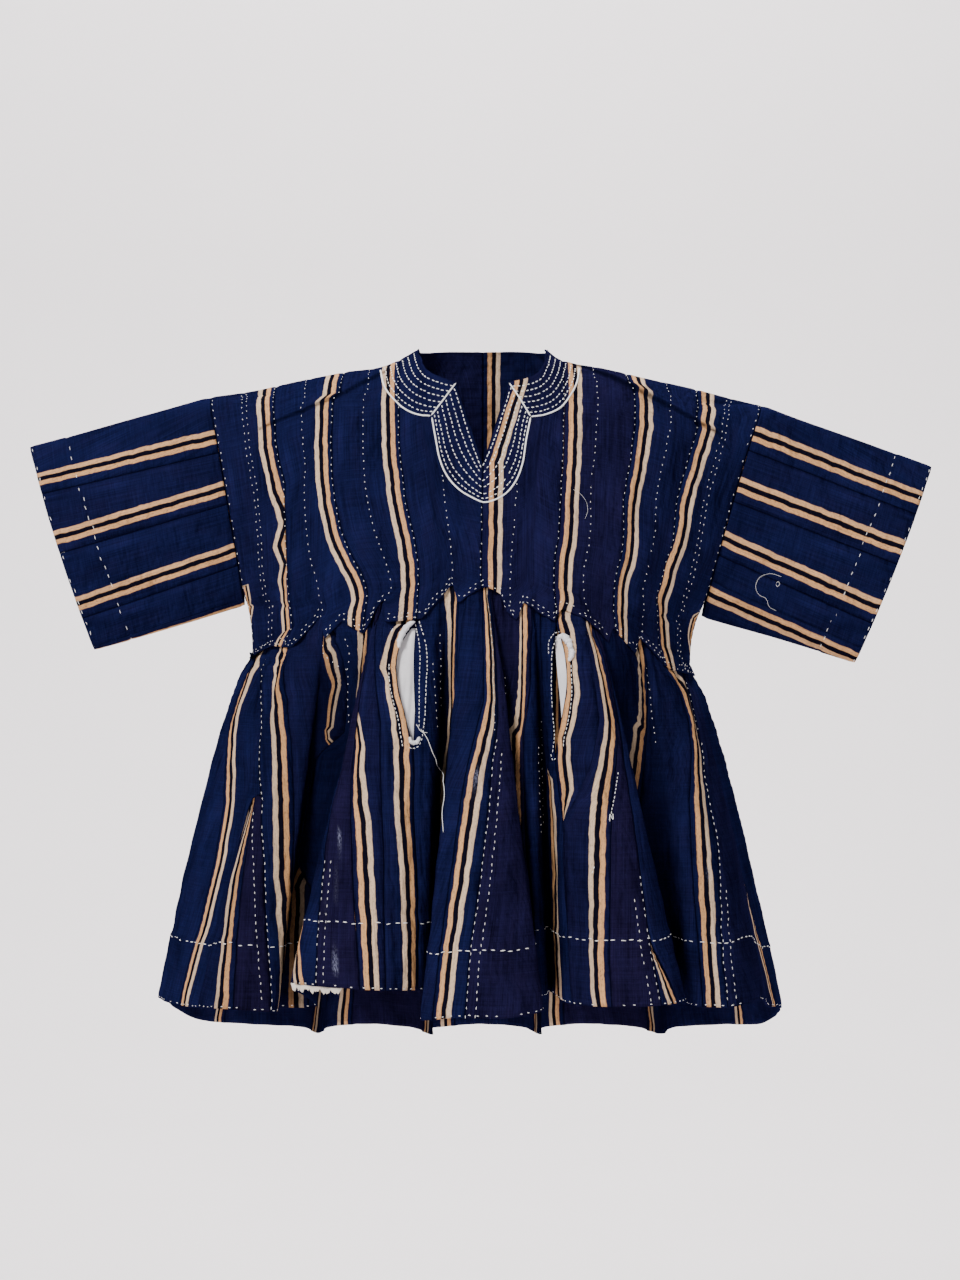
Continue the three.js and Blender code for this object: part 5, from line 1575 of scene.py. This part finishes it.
def tube(points, radius, up, sides=6):
    """A tube along a path: ring k is P + radius (cos q side + sin q up), with closed ends."""
    along = unit(np.gradient(points, axis=0))
    side = unit(np.cross(up, along))
    rise = np.cross(along, side)
    q = (2 * np.pi * np.arange(sides) / sides)[None, :, None]
    radius = np.broadcast_to(radius, len(points)).copy()
    radius[[0, -1]] *= 0.25
    ring = np.cos(q) * side[:, None] + np.sin(q) * rise[:, None]
    rings = points[:, None] + radius[:, None, None] * ring
    index = np.arange(len(points) * sides).reshape(-1, sides)
    a, b = index[:-1], index[1:]
    c, d = np.roll(b, -1, 1), np.roll(a, -1, 1)
    first, last = index[0], index[-1]
    caps = [(0 * first[2:], first[2:], first[1:-1]), (last[0] + 0 * last[2:], last[1:-1], last[2:])]
    corners = [(a, d, b), (d, c, b), *caps]
    return rings.reshape(-1, 3), np.concatenate([np.stack(part, -1).reshape(-1, 3) for part in corners])


def tubes_object(name, tubes, material):
    """One mesh of several tubes."""
    points, faces, start = [], [], 0
    for p, f in tubes:
        points.append(p * MM)
        faces.append(f + start)
        start += len(p)
    obj = dress(mesh_object(name, np.concatenate(points), np.concatenate(faces)), material)
    print(name, len(obj.data.polygons), "triangles")


print("lines can be laid on the cloth")

# %% Embroidery rows
WINGS = {
    "left": ([(-30, -30), (-46, -26), (-64, -17), (-70, -6), (-74, 9)],
             [(-58, -68), (-70, -67), (-85, -61), (-99, -49), (-110, -34), (-116, -12)]),
    "right": ([(29, -30), (46, -29), (62, -22), (69, -8), (73, 7)],
              [(53, -69), (70, -66), (86, -58), (98, -43), (105, -29), (109, -10)])}
SLIT_LINE = [(-30, -31), (-15, -77), (-2, -124), (14, -77), (29, -31)]
U_LINE = [(-57, -69), (-52, -97), (-48, -117), (-41, -134), (-27, -151), (-11, -161), (1, -166), (13, -163),
          (25, -156), (36, -142), (43, -124), (48, -94), (53, -69)]
NECK_DASH = {"pitch": 5.4, "length": 3.3, "width": 1.25, "wander": 0.15, "skip": 0.01}
ROW_SHARES = (0.1, 0.26, 0.42, 0.58, 0.74, 0.88)


def neck_row(f):
    """The back-neck row at share f from the neck edge to the outer line: a smooth U between the shoulders."""
    d = 41 * f
    x = [-74 - d, -68 - 0.8 * d, -50 - 0.45 * d, 0, 50 + 0.42 * d, 67 + 0.75 * d, 73 + 0.88 * d]
    z = [7 - 0.16 * d, 10 - 0.6 * d, 12 - 0.95 * d, 14 - d, 12 - 0.95 * d, 10 - 0.6 * d, 6 - 0.18 * d]
    return even(np.stack([x, z], -1), 90)


neck = Sewing("neck_embroidery", 41)
cords = []


def sew_rows(inner, outer, shares):
    """Rows of neck stitches on the front, at shares of the way from an inner line to an outer one."""
    for f in shares:
        neck.row(on_sheet(body_front_strips, lerp(inner, outer, f)), **NECK_DASH)


def lay_cord(line, radius=0.95, strips=body_front_strips):
    """A cord half sunk in the cloth along a line."""
    edge, up = on_sheet(strips, line)
    cords.append(tube(edge + up * 0.5, radius, up))


for inner, outer in WINGS.values():
    inner, outer = even(inner), even(outer)
    sew_rows(inner, outer, ROW_SHARES)
    lay_cord(outer)
    middle = (inner[0] + outer[0]) / 2 + (0.5, 0.5)
    lay_cord(even([inner[0], middle, outer[0]], 16), 0.85)
slit, u_line = np.concatenate([even(SLIT_LINE[:3], 40), even(SLIT_LINE[2:], 40)[1:]]), even(U_LINE, 79)
for f in (0.1, 0.27):
    for half in (slice(0, 40), slice(40, 79)):
        sew_rows(slit[half], u_line[half], (f,))
sew_rows(slit, u_line, (0.44, 0.61, 0.78, 0.9))
lay_cord(u_line)
for f in ROW_SHARES:
    neck.row(on_sheet(body_back_strips, neck_row(f)), **NECK_DASH)
lay_cord(neck_row(1.0), strips=body_back_strips)
neck.make()
tubes_object("neck_cords", cords, thread_material)

# %% [markdown]
# ## Pockets
# Two pockets are left open in the skirt's seams, and white cotton bags hang behind them. A bag could be a
# whole sack, but only the cloth behind the slit ever shows, so each is one thin wrinkled sheet.

# %% Pocket bags
BAGS = {"left": {"middle": 603, "before": 66, "after": 40, "top": -302, "bottom": -468},
        "right": {"middle": 1321, "before": 8, "after": 84, "top": -311, "bottom": -486}}
BAG_GAP = 7.5  # from the skirt's middle to the bag behind it


def bag_sheet(bag, seed):
    """A sheet a few millimetres behind the skirt: P = skirt point - depth * normal, with soft wrinkles."""
    u, v = np.meshgrid(np.linspace(0, 1, 44), np.linspace(0, 1, 64))
    z = lerp(bag["top"], bag["bottom"], v)
    around = bag["middle"] + lerp(-bag["before"], bag["after"], u)
    grid = skirt_point(around, z)
    normal = normals_of(grid)
    normal = normal * (1 if normal[32, 22, 1] < 0 else -1)
    wrinkles = 1.6 * ripple(u * 14 + v * 3, v * 9, seed) + 0.7 * ripple(u * 34, v * 16, seed + 1)
    return grid - normal * (BAG_GAP - wrinkles)[..., None]


def sheet_object(name, grid, thickness, material):
    """A sheet of one grid, with its thickness on both sides."""
    obj = dress(mesh_object(name, grid.reshape(-1, 3) * MM, grid_faces(*grid.shape[:2])), material)
    thicken(obj, thickness, 0)
    return obj


for name, bag in BAGS.items():
    obj = sheet_object(f"pocket_bag_{name}_cotton", bag_sheet(bag, 51), 0.9, bag_material)
    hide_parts(f"pocket_bag_{name}")
    print(obj.name)

# %% [markdown]
# Each slit is bound by hand: rows of white running stitches beside both lips, meeting round the lower end,
# and the bag's cotton rolled over the upper outer corner, where it has frayed. The rows are laid as lines on
# the cloth. The rolls are uneven tubes that start inside the slit and lie on its lip.

# %% Slit rows and rolled lips
SLIT_DASH = {"pitch": 4.6, "length": 3.0, "width": 0.95, "wander": 0.12}
BETWEEN_STRIPES = 13.3  # from a seam to the dark stripe between its tan and pale ones
SLIT_ROWS = [
    [(-75, -295), (-69, -323), (-69, -360), (-69, -393), (-69, -413)],
    [(-70, -295), (-62, -323), (-62, -373), (-63, -400), (-65, -417), (-68, -429), (-74, -434), (-80, -432)],
    [(71, -333), (72.5, -317), (79, -309), (86, -308)],
    [(74, -341), (77, -322), (81, -315)],
    [(74.5, -341), (74, -373), (75.5, -398), (77, -423), (74.5, -442)],
    [(73, -440), (76, -447), (79, -444)],
    [(145, -458), (140, -485), (134, -512)], [(118, -556), (114, -566)]]
ROLLS = [
    ([(-92, -327), (-90, -316), (-86, -307), (-79, -299), (-74, -297)], [1.5, 3.0, 3.4, 3.2, 1.4], 2.2),
    ([(-79, -421), (-76.5, -427), (-72, -427), (-68, -421)], [1.4, 2.2, 2.4, 1.5], 1.0),
    ([(81, -314), (87, -313), (92, -318), (95, -326)], [2.0, 3.8, 4.2, 2.2], 2.4),
    ([(93, -322), (96, -331), (93, -340)], [2.0, 3.6, 1.6], 2.4)]


def rolled(points, radius, lift):
    """A soft roll of cotton along a line: a tube whose radius swells unevenly by up to a fifth."""
    line = even(points, 26)
    path, _ = on_sheet(skirt_front_strips, line, nearest_front=True)
    share = np.linspace(0, 1, 26)
    swelling = 1 + 0.12 * np.sin(share * 31) + 0.08 * np.sin(share * 57)
    size = np.interp(share, np.linspace(0, 1, len(radius)), radius) * swelling
    depth = np.median(path[:, 1])
    path = np.stack([line[:, 0], np.clip(path[:, 1], depth - 6, depth + 3) - lift, line[:, 1]], -1)
    return tube(path, size, np.tile((0.0, -1.0, 0.0), (26, 1)), 10)


slit_sewing = Sewing("slit_stitches", 61)
for points in SLIT_ROWS:
    slit_sewing.row(on_sheet(skirt_front_strips, even(points, 50), nearest_front=True), **SLIT_DASH)
for s in skirt_front_strips:
    if s.plan.get("slit_right") == "left" or s.plan.get("slit_left") == "right":
        side = "right" if "slit_right" in s.plan else "left"
        from_lip = s.from_right[:, -1] if side == "right" else s.from_left[:, 0]
        between = s.down(**{side: np.maximum(BETWEEN_STRIPES - from_lip, 2.0)})
        slit_sewing.row(between, keep=(between[0][:, 2] < -340) & (between[0][:, 2] > -434), **SLIT_DASH)
slit_sewing.make()
tubes_object("slit_rolls", [rolled(*roll) for roll in ROLLS], bag_material)

# %% [markdown]
# Old hand sewing leaves loose ends. A few threads hang from the slit, from the chest and on one sleeve,
# where one has curled round on itself. They are very thin tubes laid on the cloth.

# %% Loose threads
LOOSE = [
    (skirt_front_strips, [(-68, -412), (-61, -422), (-55, -438), (-44, -460), (-41, -480), (-43, -500),
                          (-42, -522)], 0.34),
    (skirt_front_strips, [(-72, -408), (-66, -416), (-60, -417)], 0.32),
    (skirt_front_strips, [(134.8, -502), (134.2, -509), (134.8, -503), (138, -508), (138, -502)], 0.45),
    (body_front_strips, [(99, -151), (108, -157), (114, -166), (115, -176), (112, -184)], 0.11),
    (sleeve_right_strips, [(338, -246), (325, -242), (313, -246), (308, -256), (312, -266), (320, -270),
                           (324, -279), (333, -284)], 0.17),
    (sleeve_right_strips, [(331, -253), (333.5, -251), (335, -254), (332.5, -256.5), (330.5, -254)], 0.18)]


def loose_thread(strips, points, radius):
    """A thin tube along a smooth line laid on the cloth, a little way off it."""
    path, up = on_sheet(strips, even(points, 40), nearest_front=True)
    lift = 0.5 + 0.5 * np.sin(np.linspace(0, 3 * np.pi, 40)) ** 2
    return tube(path + up * lift[:, None], radius, up, 5)


tubes_object("loose_threads", [loose_thread(*thread) for thread in LOOSE], thread_material)

# %% [markdown]
# At the lower left corner of the big front fold the hem has come open, and the cream tape inside shows as a
# torn edge. It is a narrow ribbon that hangs below the hem line, with a ragged lower side.

# %% Torn hem tape
TAPE_START, TAPE_END = 488.0, 556.0  # distances round the hem


def hem_tape():
    """A ribbon under the hem: P = hem point + s * drop, with the lower side torn by three sines."""
    u, v = np.meshgrid(np.linspace(0, 1, 60), np.linspace(0, 1, 5))
    around = lerp(TAPE_START, TAPE_END, u)
    hem_z = fold_value(HEM_Z, around)
    grid = skirt_point(around, hem_z)
    normal = normals_of(grid + np.stack([0 * u, 0 * u, -v], -1))
    normal = normal * np.where(normal[..., 1:2] < 0, 1, -1)
    torn = 6.5 + 1.6 * np.sin(u * 29) + 1.1 * np.sin(u * 67 + 1) + 0.8 * np.sin(u * 131)
    drop = v * torn * smooth(u / 0.06) * smooth((1 - u) / 0.1)
    curl = 1.8 * v ** 2 + 0.6 * np.sin(u * 23 + v * 2)
    return grid + normal * (curl - 0.3)[..., None] + np.stack([0 * u, 0 * u, 1.5 - drop], -1)


sheet_object("torn_hem_tape", hem_tape(), 0.8, tape_material)

# %% [markdown]
# ## Floor, light and camera
# The garment hangs in front of a pale wall that curves into the floor. Large soft lights keep the shadows
# faint. The camera is level with the waist and straight in front.

# %% Studio
def backdrop():
    """A sheet swept along x: a flat floor, a quarter circle y = r sin t, z = r (1 - cos t), then a wall."""
    floor_z, wall_y, radius = -1.62, 6.2, 2.6
    t = np.linspace(0, np.pi / 2, 24)
    y = np.r_[-8, wall_y - radius + radius * np.sin(t), wall_y]
    z = np.r_[floor_z, floor_z + radius - radius * np.cos(t), 7]
    x = np.linspace(-12, 12, 2)
    points = np.stack([np.tile(x, len(y)), np.repeat(y, 2), np.repeat(z, 2)], -1)
    obj = mesh_object("studio_backdrop", points, grid_faces(len(y), 2)[:, [0, 3, 2, 1]])
    material, tree, surface = new_material("studio_paper")
    place = add(tree, "ShaderNodeTexCoord").outputs["Object"]
    paper = ramp(tree, noise(tree, place, 2.0), [(0.3, (0.90, 0.86, 0.87)), (0.7, (0.92, 0.88, 0.89))])
    tree.links.new(paper, surface.inputs["Base Color"])
    surface.inputs["Roughness"].default_value = 0.95
    obj.data.materials.append(material)


def area_light(name, location, target, size, power, colour):
    """A round soft light that faces its target."""
    light = bpy.data.lights.new(name, "AREA")
    light.shape, light.size, light.energy, light.color = "DISK", size, power, colour
    obj = bpy.data.objects.new(name, light)
    obj.location = location
    obj.rotation_euler = (Vector(target) - Vector(location)).to_track_quat("-Z", "Y").to_euler()
    bpy.context.scene.collection.objects.link(obj)


GARMENT_MIDDLE = (0, 0, -0.35)
backdrop()
area_light("key_softbox", (-1.7, -3.3, 2.5), GARMENT_MIDDLE, 1.3, 290, (1, 0.985, 0.97))
area_light("fill_softbox", (2.8, -3.2, 1.2), GARMENT_MIDDLE, 2.4, 26, (0.97, 0.985, 1))
area_light("wall_softbox", (0, 3.0, 5.4), (0, 6.0, -0.2), 5.0, 900, (1, 0.985, 0.99))
area_light("back_softbox", (0.6, 2.6, 2.6), GARMENT_MIDDLE, 2.6, 60, (1, 1, 1))
world = bpy.data.worlds.new("studio_air")
world.use_nodes = True
air = world.node_tree.nodes["Background"]
air.inputs["Color"].default_value = (0.86, 0.85, 0.86, 1)
air.inputs["Strength"].default_value = 0.33
bpy.context.scene.world = world
print("studio ready")

# %% Camera
camera = bpy.data.cameras.new("camera")
camera.sensor_width, camera.lens = 36, 78.95
camera_object = bpy.data.objects.new("camera", camera)
camera_object.location = (-0.0034, -3.2, -0.317)
camera_object.rotation_euler = (np.pi / 2, 0, 0)
bpy.context.scene.collection.objects.link(camera_object)
bpy.context.scene.camera = camera_object
print("camera at", [round(v, 3) for v in camera_object.location])
